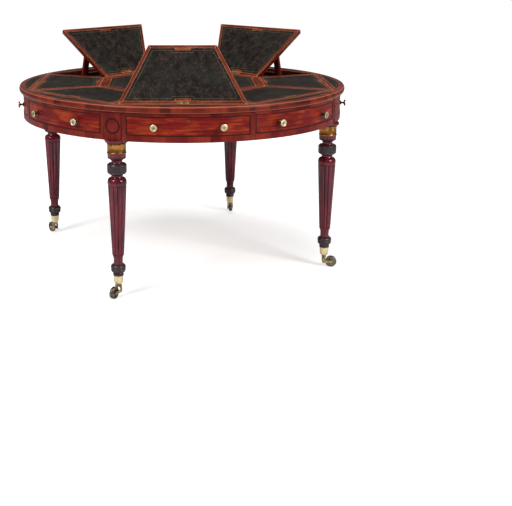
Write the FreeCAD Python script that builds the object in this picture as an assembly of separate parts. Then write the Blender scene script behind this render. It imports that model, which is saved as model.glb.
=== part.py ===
import FreeCAD, Part
import math
import os

os.makedirs("parts", exist_ok=True)
Vec = FreeCAD.Vector
Up = Vec(0, 0, 1)

# Layout of the eight sectors: azimuth of each sector's middle, in degrees
sector_angles = {
    "front": -90,
    "front_right": -45,
    "right": 0,
    "back_right": 45,
    "back": 90,
    "back_left": 135,
    "left": 180,
    "front_left": -135,
}
leg_angles = (-112.5, -22.5, 67.5, 157.5)
stile_angles = (-67.5, 22.5, 112.5, -157.5)
drawer_sectors = ("front", "right", "back", "left")
inner_hinged = ("back_right", "back_left")
raised_tilt_angles = {"front": 49.4, "back_right": 51.8, "back_left": 51.8}
half_sector_angle = 22.5

# Overall sizes, in millimetres
table_height = 760.0
rim_radius = 700.0
top_thickness = 24.5

# Top: rim, chord segments, rails and slopes
rim_width = 28.0
rim_round_share = 0.25
segment_corner_reveal = 2.86
segment_border = 17.0
well_inner_share = 0.5
octagon_rail_width = 40.0
radial_rail_width = 23.0
slope_gap = 0.9
slope_border = 13.5
slope_board_thickness = 11.5
slope_floor_gap = 0.6
slope_undercut = 7.0
lipping_inset = 3.0
lipping_width = 5.0
lipping_side_width = 9.0
leather_thickness = 1.2
leather_recess = 1.5
tab_length = 60.0
tab_reach = 10.0
well_floor_thickness = 8.0
well_leather_thickness = 0.9

# Props under the slopes
prop_end_gap = 1.5
prop_side_gap = 0.8
prop_thickness = 11.0
prop_leg_width = 31.0
prop_bar_width = 18.0
prop_bar_distance = 10.0
prop_tip_gap = 0.6
slope_travel_angle = 52.0
pivot_radius = 2.5
pivot_clearance = 0.4
lug_thickness = 5.0
lug_gap = 0.6
hinge_radius = 1.8
hinge_length = 45.0
hinge_clearance = 0.5

# Frieze, drawers and dummy drawers
frieze_setback = 15.0
frieze_thickness = 22.0
frieze_height = 110.5
top_rail_height = 13.0
bottom_rail_height = 23.0
front_gap = 1.0
block_projection = 2.0
block_depth = 75.0
block_half_angle = 3.0
post_half_angle = 4.4
stile_half_angle = 0.9
cockbead_width = 3.0
cockbead_depth = 1.5
drawer_side_thickness = 11.0
drawer_inner_end = 275.0
drawer_bottom_thickness = 6.0
drawer_side_drop = 14.0
runner_width = 22.0
runner_height = 9.0
guide_width = 5.0
side_gap = 1.0

# Knobs
knob_half_angle = 10.6
knob_drop = 1.75
knob_radius = 13.8
knob_thickness = 8.5
knob_stem_radius = 3.6
knob_stem_length = 14.0
knob_rose_radius = 9.0
knob_rose_thickness = 2.5
knob_stud_length = 12.0
knob_ring_radius = 5.0
knob_ring_depth = 0.8
knob_round_share = 0.33

# Legs: radii, heights above the floor, and heights of the turned stretches above the reeds
leg_setback = 32.0
toe_bottom = 62.0
toe_radius = 14.0
socket_bottom = 52.0
socket_top = 87.0
socket_radius = 18.5
foot_ring_radius = 20.5
bulb_bottom = 99.0
bulb_top = 133.0
bulb_radius = 29.4
lower_neck_radius = 17.6
reed_bottom = 169.0
reed_bottom_radius = 23.0
reed_top_radius = 36.5
reed_count = 12
reed_valley_share = 0.86
shoulder_height = 25.0
shoulder_radius = 37.0
middle_neck_radius = 22.2
middle_neck_height = 11.5
bobbin_height = 43.5
bobbin_radius = 37.6
bobbin_bands = 5
bobbin_bottom_radius = 25.0
bobbin_top_radius = 32.0
bobbin_taper = 9.0
bobbin_chamfer = 5.0
upper_neck_radius = 20.8
upper_neck_height = 14.0
ring_height = 25.0
ring_radius = 35.4
collar_height = 41.0
collar_drop = 13.0
collar_radius = 37.4
collar_bead_radius = 1.6
collar_bead_height = 5.0
spigot_radius = 31.0
leg_cap_height = 11.0
leg_cap_radius = 45.5
screw_radius = 6.0
screw_reach = 43.0
screw_hold = 50.0
dowel_radius = 5.0
dowel_reach = 14.0
dowel_offset = 24.0

# Outlines of the turned stretches: radius share, and share of the way up
foot_ring_shares = [(1, 0), (1, 0.8), (0.9, 1)]
bulb_shares = [(0.84, 0.09), (0.95, 0.22), (0.97, 0.36), (0.92, 0.46), (0.99, 0.51)]
bulb_shares += [(1, 0.66), (0.95, 0.82), (0.82, 0.94)]
lower_neck_shares = [(1.05, 0), (1, 0.25), (1.03, 0.6), (1.19, 0.92), (1.25, 1)]
shoulder_shares = [(0.99, 0), (1, 0.4), (0.93, 0.75), (0.73, 1)]
middle_neck_shares = [(1.05, 0.2), (1, 0.5), (1.05, 0.8)]
bobbin_band_shares = [(1, 0.25), (1, 0.75), (0.97, 1)]
upper_neck_shares = [(1.08, 0.15), (1, 0.54), (1.08, 0.92)]
ring_shares = [(0.65, 0), (0.96, 0.24), (1, 0.32), (0.95, 0.4), (0.99, 0.46), (0.99, 1)]
cap_shares = [(0.8, 0), (0.94, 0), (1, 0.3), (1, 1)]
socket_shares = [(0.65, 0), (0.86, 0.11), (0.93, 0.29), (1, 0.86), (1.04, 0.92), (1, 1)]

# Castors
wheel_radius = 23.5
wheel_width = 15.0
wheel_hub_radius = 8.0
wheel_rim_width = 5.0
wheel_round = 2.0
wheel_web_half = 5.0
castor_trail = 30.0
pintle_radius = 3.0
crown_radius = 9.0
crown_height = 9.0
bridge_half_length = 7.0
bridge_thickness = 6.0
castor_arm_thickness = 3.5
castor_arm_end = 6.0
castor_arm_end_angles = (60, 0, -60, -120)
castor_heel = 8.0
castor_neck_width = 10.0
castor_heel_round = 4.0
castor_gap = 0.6
axle_radius = 3.0
castor_angles = (-122.0, -5.0, 77.0, 126.0)

# Values derived from the sizes above
tan_half = math.tan(math.radians(half_sector_angle))
cos_half = math.cos(math.radians(half_sector_angle))
top_underside = table_height - top_thickness
rim_inner_radius = rim_radius - rim_width
well_outer_apothem = rim_inner_radius * cos_half - segment_corner_reveal
segment_leather_apothem = well_outer_apothem + segment_border
well_inner_apothem = rim_radius * well_inner_share
centre_leather_apothem = well_inner_apothem - octagon_rail_width
frieze_radius = rim_radius - frieze_setback
leg_circle_radius = frieze_radius - leg_setback
frieze_bottom = top_underside - frieze_height
collar_top = frieze_bottom - collar_drop
collar_bottom = collar_top - collar_height
ring_bottom = collar_bottom - ring_height
bobbin_top = ring_bottom - upper_neck_height
bobbin_bottom = bobbin_top - bobbin_height
shoulder_top = bobbin_bottom - middle_neck_height
reed_top = shoulder_top - shoulder_height
frieze_inner_radius = frieze_radius - frieze_thickness
front_top = top_underside - top_rail_height - front_gap
front_bottom = frieze_bottom + bottom_rail_height + front_gap
opening_half_angle = half_sector_angle - (post_half_angle + stile_half_angle) / 2
drawer_offset_angle = (post_half_angle - stile_half_angle) / 2
block_outer = frieze_radius + block_projection
block_inner = block_outer - block_depth
drawer_reach = block_inner * math.sin(math.radians(opening_half_angle))
drawer_half_width = drawer_reach - guide_width - 3 * side_gap
knob_height = (front_top + front_bottom) / 2 - knob_drop
slope_inner = well_inner_apothem + slope_gap
slope_outer = well_outer_apothem - slope_gap
slope_side_offset = radial_rail_width / 2 + slope_gap
prop_pivot_drop = slope_board_thickness + prop_thickness / 2 + prop_tip_gap
prop_swing_offset = prop_pivot_drop * math.tan(math.radians(slope_travel_angle / 2))
lipping_reach = lipping_inset + lipping_width
prop_room = slope_outer - slope_inner - lipping_reach - prop_end_gap
prop_length = (prop_room - prop_thickness / 2 - prop_swing_offset) / 2
prop_foot_distance = prop_length + prop_swing_offset


def plate(points, bottom, top):
    """Upright prism over a closed outline of (x, y) points."""
    outline = [Vec(x, y, bottom) for x, y in points]
    outline.append(outline[0])
    face = Part.Face(Part.makePolygon(outline))
    return face.extrude(Vec(0, 0, top - bottom))


def box(x0, x1, y0, y1, z0, z1):
    """Box between two corners."""
    return Part.makeBox(x1 - x0, y1 - y0, z1 - z0, Vec(x0, y0, z0))


def arc_block(inner, outer, start, end, bottom, top):
    """Piece of a ring between two azimuths."""
    sweep = end - start
    disc = Part.makeCylinder(outer, top - bottom, Vec(0, 0, bottom), Up, sweep)
    core = Part.makeCylinder(inner, top - bottom, Vec(0, 0, bottom), Up)
    return spun(disc.cut(core), start)


def spun(shape, azimuth):
    """Copy of a shape turned about the table's vertical axis."""
    copy = shape.copy()
    copy.rotate(Vec(0, 0, 0), Up, azimuth)
    return copy


def revolved(profile):
    """Solid of revolution about the vertical axis from (radius, height) points."""
    outline = [Vec(r, 0, z) for r, z in profile]
    outline.append(outline[0])
    face = Part.Face(Part.makePolygon(outline))
    return face.revolve(Vec(0, 0, 0), Up, 360)


def sector_points(inner, outer, offset):
    """Trapezoid of the sector along +X, its sides set back from the sector's edges."""
    inner_half = inner * tan_half - offset / cos_half
    outer_half = outer * tan_half - offset / cos_half
    return [(inner, -inner_half), (outer, -outer_half), (outer, outer_half), (inner, inner_half)]


def solids_of(shapes):
    """Flat list of the solids in a list of shapes."""
    found = []
    for shape in shapes:
        found.extend(shape.Solids)
    return found


def export(name, shapes):
    """Write one node as a STEP file of separate solids."""
    solids = solids_of(shapes)
    shape = solids[0] if len(solids) == 1 else Part.makeCompound(solids)
    shape.exportStep("parts/" + name + ".step")


# Top rim: eight rounded crossbanded lengths
def rim_length():
    """One eighth of the rim, with a rounded outer edge."""
    soft = top_thickness * rim_round_share
    outline = Part.makePolygon(
        [
            Vec(rim_radius - soft, 0, top_underside),
            Vec(rim_inner_radius, 0, top_underside),
            Vec(rim_inner_radius, 0, table_height),
            Vec(rim_radius - soft, 0, table_height),
        ]
    )
    middle = Vec(rim_radius, 0, table_height - top_thickness / 2)
    upper = Vec(rim_radius - soft, 0, table_height)
    lower = Vec(rim_radius - soft, 0, top_underside)
    wire = Part.Wire(outline.Edges + [Part.Arc(upper, middle, lower).toShape()])
    return Part.Face(wire).revolve(Vec(0, 0, 0), Up, half_sector_angle * 2)


rim = rim_length()
export("top_rim", [spun(rim, azimuth - half_sector_angle) for azimuth in sector_angles.values()])


def hinge_x(inner_side):
    """Distance of a slope's hinge line from the middle of the table."""
    return slope_inner if inner_side else slope_outer


def hinge_barrel(inner_side):
    """Barrel of the hinge in the middle of a slope's hinged edge."""
    start = Vec(hinge_x(inner_side), -hinge_length / 2, table_height)
    return Part.makeCylinder(hinge_radius, hinge_length, start, Vec(0, 1, 0))


# Fixed parts of the top
def segment_board():
    """Board between a slope's outer side and the rim, recessed for its leather."""
    core = well_inner_apothem
    start, end = -half_sector_angle, half_sector_angle
    disc = arc_block(core, rim_inner_radius, start, end, top_underside, table_height)
    return disc.cut(box(0, well_outer_apothem, -rim_radius, rim_radius, top_underside, table_height))


def segment_leather_region(bottom, top):
    """Circular segment that the leather covers."""
    disc = Part.makeCylinder(rim_inner_radius, top - bottom, Vec(0, 0, bottom), Up)
    return disc.cut(box(-rim_radius, segment_leather_apothem, -rim_radius, rim_radius, bottom, top))


recess_bottom = table_height - leather_recess
leather_top = recess_bottom + leather_thickness
segment = segment_board().cut(segment_leather_region(recess_bottom, table_height))
segment = segment.cut(hinge_barrel(False))
export("segment_boards", [spun(segment, azimuth) for azimuth in sector_angles.values()])

rail = box(0, rim_radius, -radial_rail_width / 2, radial_rail_width / 2, top_underside, table_height)
well_region = plate(sector_points(well_inner_apothem, well_outer_apothem, 0), top_underside, table_height)
rail_limits = spun(well_region, half_sector_angle).fuse(spun(well_region, -half_sector_angle))
radial_rail = rail.common(rail_limits.removeSplitter())
rail_angles = [azimuth + half_sector_angle for azimuth in sector_angles.values()]
export("radial_rails", [spun(radial_rail, angle) for angle in rail_angles])

octagon_points = sector_points(centre_leather_apothem, well_inner_apothem, 0)
octagon_rail = plate(octagon_points, top_underside, table_height)
octagon_rail = octagon_rail.cut(hinge_barrel(True))
octagon_corners = []
for number in range(8):
    angle = math.radians(half_sector_angle + 2 * half_sector_angle * number)
    octagon_corners.append((math.cos(angle) / cos_half, math.sin(angle) / cos_half))
centre_outline = [(centre_leather_apothem * x, centre_leather_apothem * y) for x, y in octagon_corners]
centre_board = plate(centre_outline, top_underside, recess_bottom)
octagon_rails = [spun(octagon_rail, azimuth) for azimuth in sector_angles.values()]
export("centre_octagon", octagon_rails + [centre_board])

well_floor_radius = frieze_inner_radius - front_gap
well_floor_bottom = top_underside - well_floor_thickness
well_lining_bottom = top_underside - well_leather_thickness
floor_centre = Vec(0, 0, well_floor_bottom)
well_floor = Part.makeCylinder(well_floor_radius, well_floor_thickness, floor_centre, Up)
well_linings = []
for azimuth in sector_angles.values():
    outline = sector_points(well_inner_apothem, well_outer_apothem, radial_rail_width / 2)
    lining = plate(outline, well_lining_bottom, top_underside).common(well_floor)
    well_linings.append(spun(lining, azimuth))
for lining in well_linings:
    well_floor = well_floor.cut(lining)
export("well_floor", [well_floor])


# Slopes: the hinge line lies in the top surface, at the inner or the outer edge
def slope_outline(margin, side_margin):
    """Outline of a slope, set in by one margin at its ends and by another at its sides."""
    return sector_points(slope_inner + margin, slope_outer - margin, slope_side_offset + side_margin)


def slope_envelope():
    """All that a slope may fill: its sides are undercut, so that they clear the rails as it tilts."""
    wires = []
    for side_margin, height in ((0, table_height), (slope_undercut, top_underside + slope_floor_gap)):
        outline = [Vec(x, y, height) for x, y in slope_outline(0, side_margin)]
        wires.append(Part.makePolygon(outline + outline[:1]))
    return Part.makeLoft(wires, True, True)


def slope_board(inner_side):
    """Upper board of a slope, recessed for its leather, with its four lippings."""
    bottom = table_height - slope_board_thickness
    envelope = slope_envelope()
    board = plate(slope_outline(0, 0), bottom, table_height).common(envelope)
    board = board.cut(leather_region(recess_bottom, table_height))
    half = hinge_length / 2 + hinge_clearance
    start = Vec(hinge_x(inner_side), -half, table_height)
    board = board.cut(Part.makeCylinder(hinge_radius + hinge_clearance, half * 2, start, Vec(0, 1, 0)))
    outside = slope_outline(lipping_inset, lipping_inset)
    inside = slope_outline(lipping_reach, lipping_inset + lipping_side_width)
    rails = []
    for number in range(4):
        following = (number + 1) % 4
        corners = [outside[number], outside[following], inside[following], inside[number]]
        rail = plate(corners, top_underside + slope_floor_gap, bottom)
        rails.append(rail.common(envelope))
    return [board] + rails


def leather_region(bottom, top):
    """Leather panel of a slope, notched round the two small wooden tabs."""
    inner = slope_inner + slope_border
    outer = slope_outer - slope_border
    region = plate(slope_outline(slope_border, slope_border), bottom, top)
    half = tab_length / 2
    for start, end in ((inner, inner + tab_reach), (outer - tab_reach, outer)):
        region = region.cut(box(start, end, -half, half, bottom, top))
    return region


def foot_x(inner_side):
    """Distance of a prop's pivot from the middle of the table."""
    away = 1 if inner_side else -1
    return hinge_x(inner_side) + away * prop_foot_distance


def tilted(shape, inner_side, angle, x, z):
    """Copy of a shape swung up about a line along Y at (x, z)."""
    copy = shape.copy()
    axis = Vec(0, -1, 0) if inner_side else Vec(0, 1, 0)
    copy.rotate(Vec(x, 0, z), axis, angle)
    return copy


pivot_height = table_height - prop_pivot_drop


def prop_reach(inner_side):
    """Half the width of a prop: all the room between the lippings at its narrowest place."""
    foot = foot_x(inner_side)
    narrow = foot - prop_thickness / 2 if inner_side else foot - prop_length - prop_thickness / 2
    side = slope_side_offset + lipping_inset + lipping_side_width
    return narrow * tan_half - side / cos_half - prop_side_gap


def prop_frame(inner_side):
    """Prop lying flat: two legs bored for the pivot rod, a low bar, and a tip bar with a round edge."""
    away = 1 if inner_side else -1
    foot = foot_x(inner_side)
    tip = foot + away * prop_length
    reach = prop_reach(inner_side)
    half = prop_thickness / 2
    across = Vec(0, 1, 0)
    low, high = sorted((foot, tip))
    frame = box(low, high, -reach, reach, pivot_height - half, pivot_height + half)
    for x in (foot, tip):
        frame = frame.fuse(Part.makeCylinder(half, reach * 2, Vec(x, -reach, pivot_height), across))
    inside = reach - prop_leg_width
    for start, end in (
        (-prop_thickness, prop_bar_distance),
        (prop_bar_distance + prop_bar_width, prop_length - prop_bar_width),
    ):
        low, high = sorted((foot + away * start, foot + away * end))
        frame = frame.cut(box(low, high, -inside, inside, top_underside, table_height))
    bore_start = Vec(foot, -reach, pivot_height)
    bore = Part.makeCylinder(pivot_radius + pivot_clearance, reach * 2, bore_start, across)
    return frame.removeSplitter().cut(bore)


def prop_pivot(inner_side):
    """Pivot rod of one prop, held by a lug on the well floor beside each leg."""
    foot = foot_x(inner_side)
    reach = prop_reach(inner_side)
    rod = Part.makeCylinder(pivot_radius, reach * 2, Vec(foot, -reach, pivot_height), Vec(0, 1, 0))
    half = prop_thickness / 2
    far = reach - prop_leg_width - lug_gap
    pieces = [rod]
    for side in (-1, 1):
        low, high = sorted((side * far, side * (far - lug_thickness)))
        lug = box(foot - half, foot + half, low, high, top_underside, pivot_height + half)
        pieces.append(lug.cut(rod))
    return pieces


hardware = []
for name, azimuth in sector_angles.items():
    inner_side = name in inner_hinged
    angle = raised_tilt_angles.get(name, 0)
    hinge = hinge_x(inner_side)
    boards = slope_board(inner_side)
    board_parts = [tilted(piece, inner_side, angle, hinge, table_height) for piece in boards]
    leather = leather_region(recess_bottom, leather_top)
    leather = tilted(leather, inner_side, angle, hinge, table_height)
    prop = tilted(prop_frame(inner_side), inner_side, angle * 2, foot_x(inner_side), pivot_height)
    export("slope_board_" + name, [spun(piece, azimuth) for piece in board_parts])
    export("slope_leather_" + name, [spun(leather, azimuth)])
    export("slope_prop_" + name, [spun(prop, azimuth)])
    pivot_parts = prop_pivot(inner_side) + [hinge_barrel(inner_side)]
    hardware.extend(spun(piece, azimuth) for piece in pivot_parts)
export("slope_hinges_and_pivots", hardware)

segment_leather = segment_leather_region(recess_bottom, leather_top)
centre_leather = plate(centre_outline, recess_bottom, leather_top)
fixed_leathers = [spun(segment_leather, azimuth) for azimuth in sector_angles.values()]
export("fixed_leathers", fixed_leathers + [centre_leather] + well_linings)


# Frieze: rails, leg blocks with a strip on each side, and stiles
def frieze_rail(bottom, top, start, end):
    """Curved rail or upright strip between two azimuths."""
    return arc_block(frieze_inner_radius, frieze_radius, start, end, bottom, top)


rails = []
for azimuth in leg_angles:
    post_edge = azimuth + post_half_angle
    stile_edge = azimuth + 2 * half_sector_angle - stile_half_angle
    next_stile_edge = stile_edge + 2 * stile_half_angle
    next_post_edge = azimuth + 4 * half_sector_angle - post_half_angle
    for side in (-1, 1):
        start, end = sorted((azimuth + side * block_half_angle, azimuth + side * post_half_angle))
        rails.append(frieze_rail(frieze_bottom, top_underside, start, end))
    for start, end in ((post_edge, stile_edge), (next_stile_edge, next_post_edge)):
        rails.append(frieze_rail(top_underside - top_rail_height, top_underside, start, end))
        rails.append(frieze_rail(frieze_bottom, frieze_bottom + bottom_rail_height, start, end))
stile = arc_block(
    frieze_inner_radius, frieze_radius, -stile_half_angle, stile_half_angle, frieze_bottom, top_underside
)
export("frieze_rails_and_stiles", rails + [spun(stile, azimuth) for azimuth in stile_angles])

block = arc_block(
    block_inner, block_outer, -block_half_angle, block_half_angle, frieze_bottom, top_underside
)
block = block.cut(Part.makeCylinder(well_floor_radius, well_floor_thickness, floor_centre, Up))
screw_foot = Vec(leg_circle_radius, 0, frieze_bottom - screw_hold)
screw = Part.makeCylinder(screw_radius, screw_hold + screw_reach, screw_foot, Up)
dowels = []
for side in (-1, 1):
    foot = Vec(leg_circle_radius, side * dowel_offset, frieze_bottom - dowel_reach)
    dowels.append(Part.makeCylinder(dowel_radius, dowel_reach * 2, foot, Up))
for piece in [screw] + dowels:
    block = block.cut(piece)
export("leg_blocks", [spun(block, azimuth) for azimuth in leg_angles])


# Drawer fronts, real and dummy, with their knobs
def knob(azimuth):
    """Turned knob on a stem, its stud pointing to the middle of the table."""
    start = Vec(frieze_radius - knob_stud_length, 0, knob_height)
    seat = Vec(frieze_radius - knob_rose_thickness, 0, knob_height)
    out = Vec(1, 0, 0)
    stud = Part.makeCylinder(knob_stem_radius, knob_stud_length + knob_stem_length, start, out)
    rose = Part.makeCylinder(knob_rose_radius, knob_rose_thickness * 2, seat, out)
    face = frieze_radius + knob_stem_length
    head = Part.makeCylinder(knob_radius, knob_thickness, Vec(face, 0, knob_height), out)
    rounds = [edge for edge in head.Edges if edge.Curve.TypeId == "Part::GeomCircle"]
    head = head.makeFillet(knob_thickness * knob_round_share, rounds)
    front = Vec(face + knob_thickness, 0, knob_height)
    ring = Part.makeTorus(knob_ring_radius, knob_ring_depth, front, out)
    return spun(stud.fuse(rose).fuse(head).cut(ring).removeSplitter(), azimuth)


def drawer_front():
    """Curved front with a cockbead round its edge, about the +X axis."""
    gap_angle = math.degrees(front_gap / frieze_radius)
    half = opening_half_angle - gap_angle
    front = arc_block(frieze_inner_radius, frieze_radius, -half, half, front_bottom, front_top)
    bead_angle = math.degrees(cockbead_width / frieze_radius)
    field = arc_block(
        frieze_radius - cockbead_depth,
        frieze_radius * 2,
        -half + bead_angle,
        half - bead_angle,
        front_bottom + cockbead_width,
        front_top - cockbead_width,
    )
    return front.cut(field)


def drawer_box():
    """Two sides, a back and a bottom behind the front."""
    low = front_bottom
    high = front_top - drawer_side_drop
    wall = drawer_side_thickness
    inside = drawer_half_width - wall
    bottom_low = low + drawer_bottom_thickness / 2
    bottom_high = bottom_low + drawer_bottom_thickness
    pieces = []
    behind = Part.makeCylinder(frieze_inner_radius, table_height, Vec(0, 0, 0), Up)
    for side in (-1, 1):
        start, end = sorted((side * drawer_half_width, side * inside))
        board = box(drawer_inner_end, frieze_radius, start, end, low, high)
        pieces.append(board.common(behind))
    pieces.append(box(drawer_inner_end, drawer_inner_end + wall, -inside, inside, low, high))
    bottom = box(drawer_inner_end + wall, frieze_radius, -inside, inside, bottom_low, bottom_high)
    pieces.append(bottom.common(behind))
    return pieces


def knob_pair():
    """The two knobs of one front."""
    return [knob(-knob_half_angle), knob(knob_half_angle)]


front_shape = drawer_front()
for piece in knob_pair():
    front_shape = front_shape.cut(piece)
dummy_fronts = []
dummy_knobs = []
for name, azimuth in sector_angles.items():
    if name in drawer_sectors:
        turn = azimuth + drawer_offset_angle
        export("drawer_front_" + name, [spun(front_shape, turn)])
        export("drawer_box_" + name, [spun(piece, turn) for piece in drawer_box()])
        export("drawer_knobs_" + name, [spun(piece, turn) for piece in knob_pair()])
    else:
        turn = azimuth - drawer_offset_angle
        dummy_fronts.append(spun(front_shape, turn))
        dummy_knobs.extend(spun(piece, turn) for piece in knob_pair())
export("dummy_fronts", dummy_fronts)
export("dummy_knobs", dummy_knobs)


# Frame inside the frieze: runners, guides and a square of boards round the middle
carcase = []
runner_top = front_bottom - side_gap / 2
runner_inner = drawer_half_width - runner_width / 2
runner_outer = drawer_half_width + side_gap + guide_width
square_half = drawer_inner_end - side_gap - drawer_side_thickness
for name in drawer_sectors:
    turn = sector_angles[name] + drawer_offset_angle
    start = square_half + drawer_side_thickness
    end = frieze_inner_radius * math.cos(math.radians(opening_half_angle)) - front_gap
    for side in (-1, 1):
        low, high = sorted((side * runner_inner, side * runner_outer))
        runner = box(start, end, low, high, runner_top - runner_height, runner_top)
        low, high = sorted((side * (drawer_half_width + side_gap), side * runner_outer))
        guide = box(start, end - block_depth, low, high, runner_top, well_floor_bottom)
        carcase.append(spun(runner, turn))
        carcase.append(spun(guide, turn))
    board = box(square_half, start, -start, square_half, frieze_bottom, well_floor_bottom)
    carcase.append(spun(board, turn))
export("drawer_frame", carcase)


# Legs
def stretch(shares, radius, low, high):
    """Points of one turned stretch between two heights."""
    return [(radius * wide, low + (high - low) * up) for wide, up in shares]


def reed_outline(radius, height):
    """Closed outline of round reeds side by side, about the vertical axis."""
    step = math.pi / reed_count
    edges = []
    for number in range(reed_count):
        points = []
        for turn, share in ((-1, reed_valley_share), (0, 1), (1, reed_valley_share)):
            angle = (2 * number + turn) * step
            reach = radius * share
            points.append(Vec(reach * math.cos(angle), reach * math.sin(angle), height))
        edges.append(Part.Arc(*points).toShape())
    return Part.Wire(edges)


def reeded_shaft():
    """Tapered shaft with round reeds."""
    outlines = [reed_outline(reed_bottom_radius, reed_bottom), reed_outline(reed_top_radius, reed_top)]
    return Part.makeLoft(outlines, True, True)


def bobbin_points():
    """Points of the banded bobbin below the leg's collar."""
    first = bobbin_bottom + bobbin_taper
    pitch = (bobbin_top - bobbin_chamfer - first) / bobbin_bands
    points = [(bobbin_bottom_radius, bobbin_bottom)]
    points += stretch(bobbin_band_shares[-1:], bobbin_radius, bobbin_bottom, first)
    for number in range(bobbin_bands):
        low = first + pitch * number
        points += stretch(bobbin_band_shares, bobbin_radius, low, low + pitch)
    return points + [(bobbin_top_radius, bobbin_top)]


def lower_leg_points():
    """Outline of the leg from the toe up to the reeds."""
    points = [(0, toe_bottom), (toe_radius, toe_bottom), (toe_radius, socket_top)]
    points += stretch(foot_ring_shares, foot_ring_radius, socket_top, bulb_bottom)
    points += stretch(bulb_shares, bulb_radius, bulb_bottom, bulb_top)
    points += stretch(lower_neck_shares, lower_neck_radius, bulb_top, reed_bottom)
    return points + [(0, reed_bottom)]


def upper_leg_points():
    """Outline of the leg from the top of the reeds to the block."""
    points = [(0, reed_top)]
    points += stretch(shoulder_shares, shoulder_radius, reed_top, shoulder_top)
    points += stretch(middle_neck_shares, middle_neck_radius, shoulder_top, bobbin_bottom)
    points += bobbin_points()
    points += stretch(upper_neck_shares, upper_neck_radius, bobbin_top, ring_bottom)
    points += stretch(ring_shares, ring_radius, ring_bottom, collar_bottom)
    points += [(spigot_radius, collar_bottom), (spigot_radius, collar_top)]
    cap_bottom = frieze_bottom - leg_cap_height
    points += [(ring_radius, collar_top)]
    points += stretch(cap_shares, leg_cap_radius, cap_bottom, frieze_bottom)
    return points + [(0, frieze_bottom)]


leg = revolved(lower_leg_points()).fuse(reeded_shaft())
leg = leg.fuse(revolved(upper_leg_points())).removeSplitter()
leg.translate(Vec(leg_circle_radius, 0, 0))
for piece in [screw] + dowels:
    leg = leg.cut(piece)
export("turned_legs", [spun(leg, azimuth) for azimuth in leg_angles])
export("leg_screws", [spun(piece, azimuth) for azimuth in leg_angles for piece in [screw] + dowels])

collar_inner = collar_radius - collar_bead_radius
collar_profile = [(spigot_radius, collar_bottom), (collar_radius, collar_bottom)]
collar_profile += [(collar_radius, collar_bottom + collar_bead_height)]
collar_profile += [(collar_inner, collar_bottom + collar_bead_height + collar_bead_radius)]
collar_profile += [(collar_inner, collar_top - collar_bead_height - collar_bead_radius)]
collar_profile += [(collar_radius, collar_top - collar_bead_height)]
collar_profile += [(collar_radius, collar_top), (spigot_radius, collar_top)]
collar = revolved(collar_profile)
collar.translate(Vec(leg_circle_radius, 0, 0))

socket_profile = [(0, socket_bottom)] + stretch(socket_shares, socket_radius, socket_bottom, socket_top)
socket_profile += [(toe_radius, socket_top), (toe_radius, toe_bottom), (0, toe_bottom)]
pintle_hole = Part.makeCylinder(pintle_radius + castor_gap, toe_bottom, Vec(0, 0, 0), Up)
socket = revolved(socket_profile).cut(pintle_hole)
socket.translate(Vec(leg_circle_radius, 0, 0))
export("leg_collars", [spun(collar, azimuth) for azimuth in leg_angles])
export("castor_sockets", [spun(socket, azimuth) for azimuth in leg_angles])


# Castors: a fork that swivels in the socket and a wheel on its axle
def castor_fork():
    """Fork trailing along +X, with its pintle and the riveted axle."""
    crown_top = socket_bottom - castor_gap
    crown_bottom = crown_top - crown_height
    bridge_top = crown_bottom + bridge_thickness
    near = wheel_width / 2 + castor_gap
    half = near + castor_arm_thickness
    stem_height = toe_bottom - castor_gap - crown_top
    stem = Part.makeCylinder(pintle_radius, stem_height, Vec(0, 0, crown_top), Up)
    crown = Part.makeCylinder(crown_radius, crown_height, Vec(0, 0, crown_bottom), Up)
    bridge = box(-bridge_half_length, bridge_half_length, -half, half, crown_bottom, bridge_top)
    fork = crown.fuse(stem).fuse(bridge)
    low, high = wheel_radius - castor_arm_end, wheel_radius + castor_arm_end
    inner = castor_neck_width - castor_heel
    outline = [(-bridge_half_length, bridge_top), (bridge_half_length, bridge_top)]
    outline += [(bridge_half_length, crown_bottom), (inner, high + castor_heel_round)]
    outline += [(inner + castor_heel_round, high)]
    for angle in castor_arm_end_angles:
        x = castor_trail + castor_arm_end * math.cos(math.radians(angle))
        outline.append((x, wheel_radius + castor_arm_end * math.sin(math.radians(angle))))
    outline += [(castor_heel_round - castor_heel, low), (-castor_heel, low + castor_heel_round)]
    outline.append((-castor_heel, crown_bottom))
    for side in (-1, 1):
        wire = [Vec(x, side * near, z) for x, z in outline]
        wire.append(wire[0])
        arm = Part.Face(Part.makePolygon(wire)).extrude(Vec(0, side * castor_arm_thickness, 0))
        fork = fork.fuse(arm)
    axle = Part.makeCylinder(axle_radius, half * 2, Vec(castor_trail, -half, wheel_radius), Vec(0, 1, 0))
    return [fork.removeSplitter().cut(axle), axle]


def castor_wheel():
    """Wheel with rounded rims and a hollowed face on each side."""
    half = wheel_width / 2
    bore = axle_radius + pivot_clearance
    rim_inner = wheel_radius - wheel_rim_width
    upper = [(bore, half), (wheel_hub_radius, half), (wheel_hub_radius, wheel_web_half)]
    upper += [(rim_inner, wheel_web_half), (rim_inner, half)]
    upper += [(wheel_radius - wheel_round, half), (wheel_radius, half - wheel_round)]
    wheel = revolved([(r, -z) for r, z in upper] + upper[::-1])
    wheel.rotate(Vec(0, 0, 0), Vec(1, 0, 0), 90)
    wheel.translate(Vec(castor_trail, 0, wheel_radius))
    return wheel


corner_names = ("front_left", "front_right", "back_right", "back_left")
for corner, leg_azimuth, azimuth in zip(corner_names, leg_angles, castor_angles):
    angle = math.radians(leg_azimuth)
    place = Vec(leg_circle_radius * math.cos(angle), leg_circle_radius * math.sin(angle), 0)
    fork_parts = [spun(piece, azimuth) for piece in castor_fork()]
    wheel = spun(castor_wheel(), azimuth)
    for piece in fork_parts + [wheel]:
        piece.translate(place)
    export("castor_fork_" + corner, fork_parts)
    export("castor_wheel_" + corner, [wheel])
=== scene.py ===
"""Looks of a circular library table with reading slopes, drawers and reeded legs."""

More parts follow.
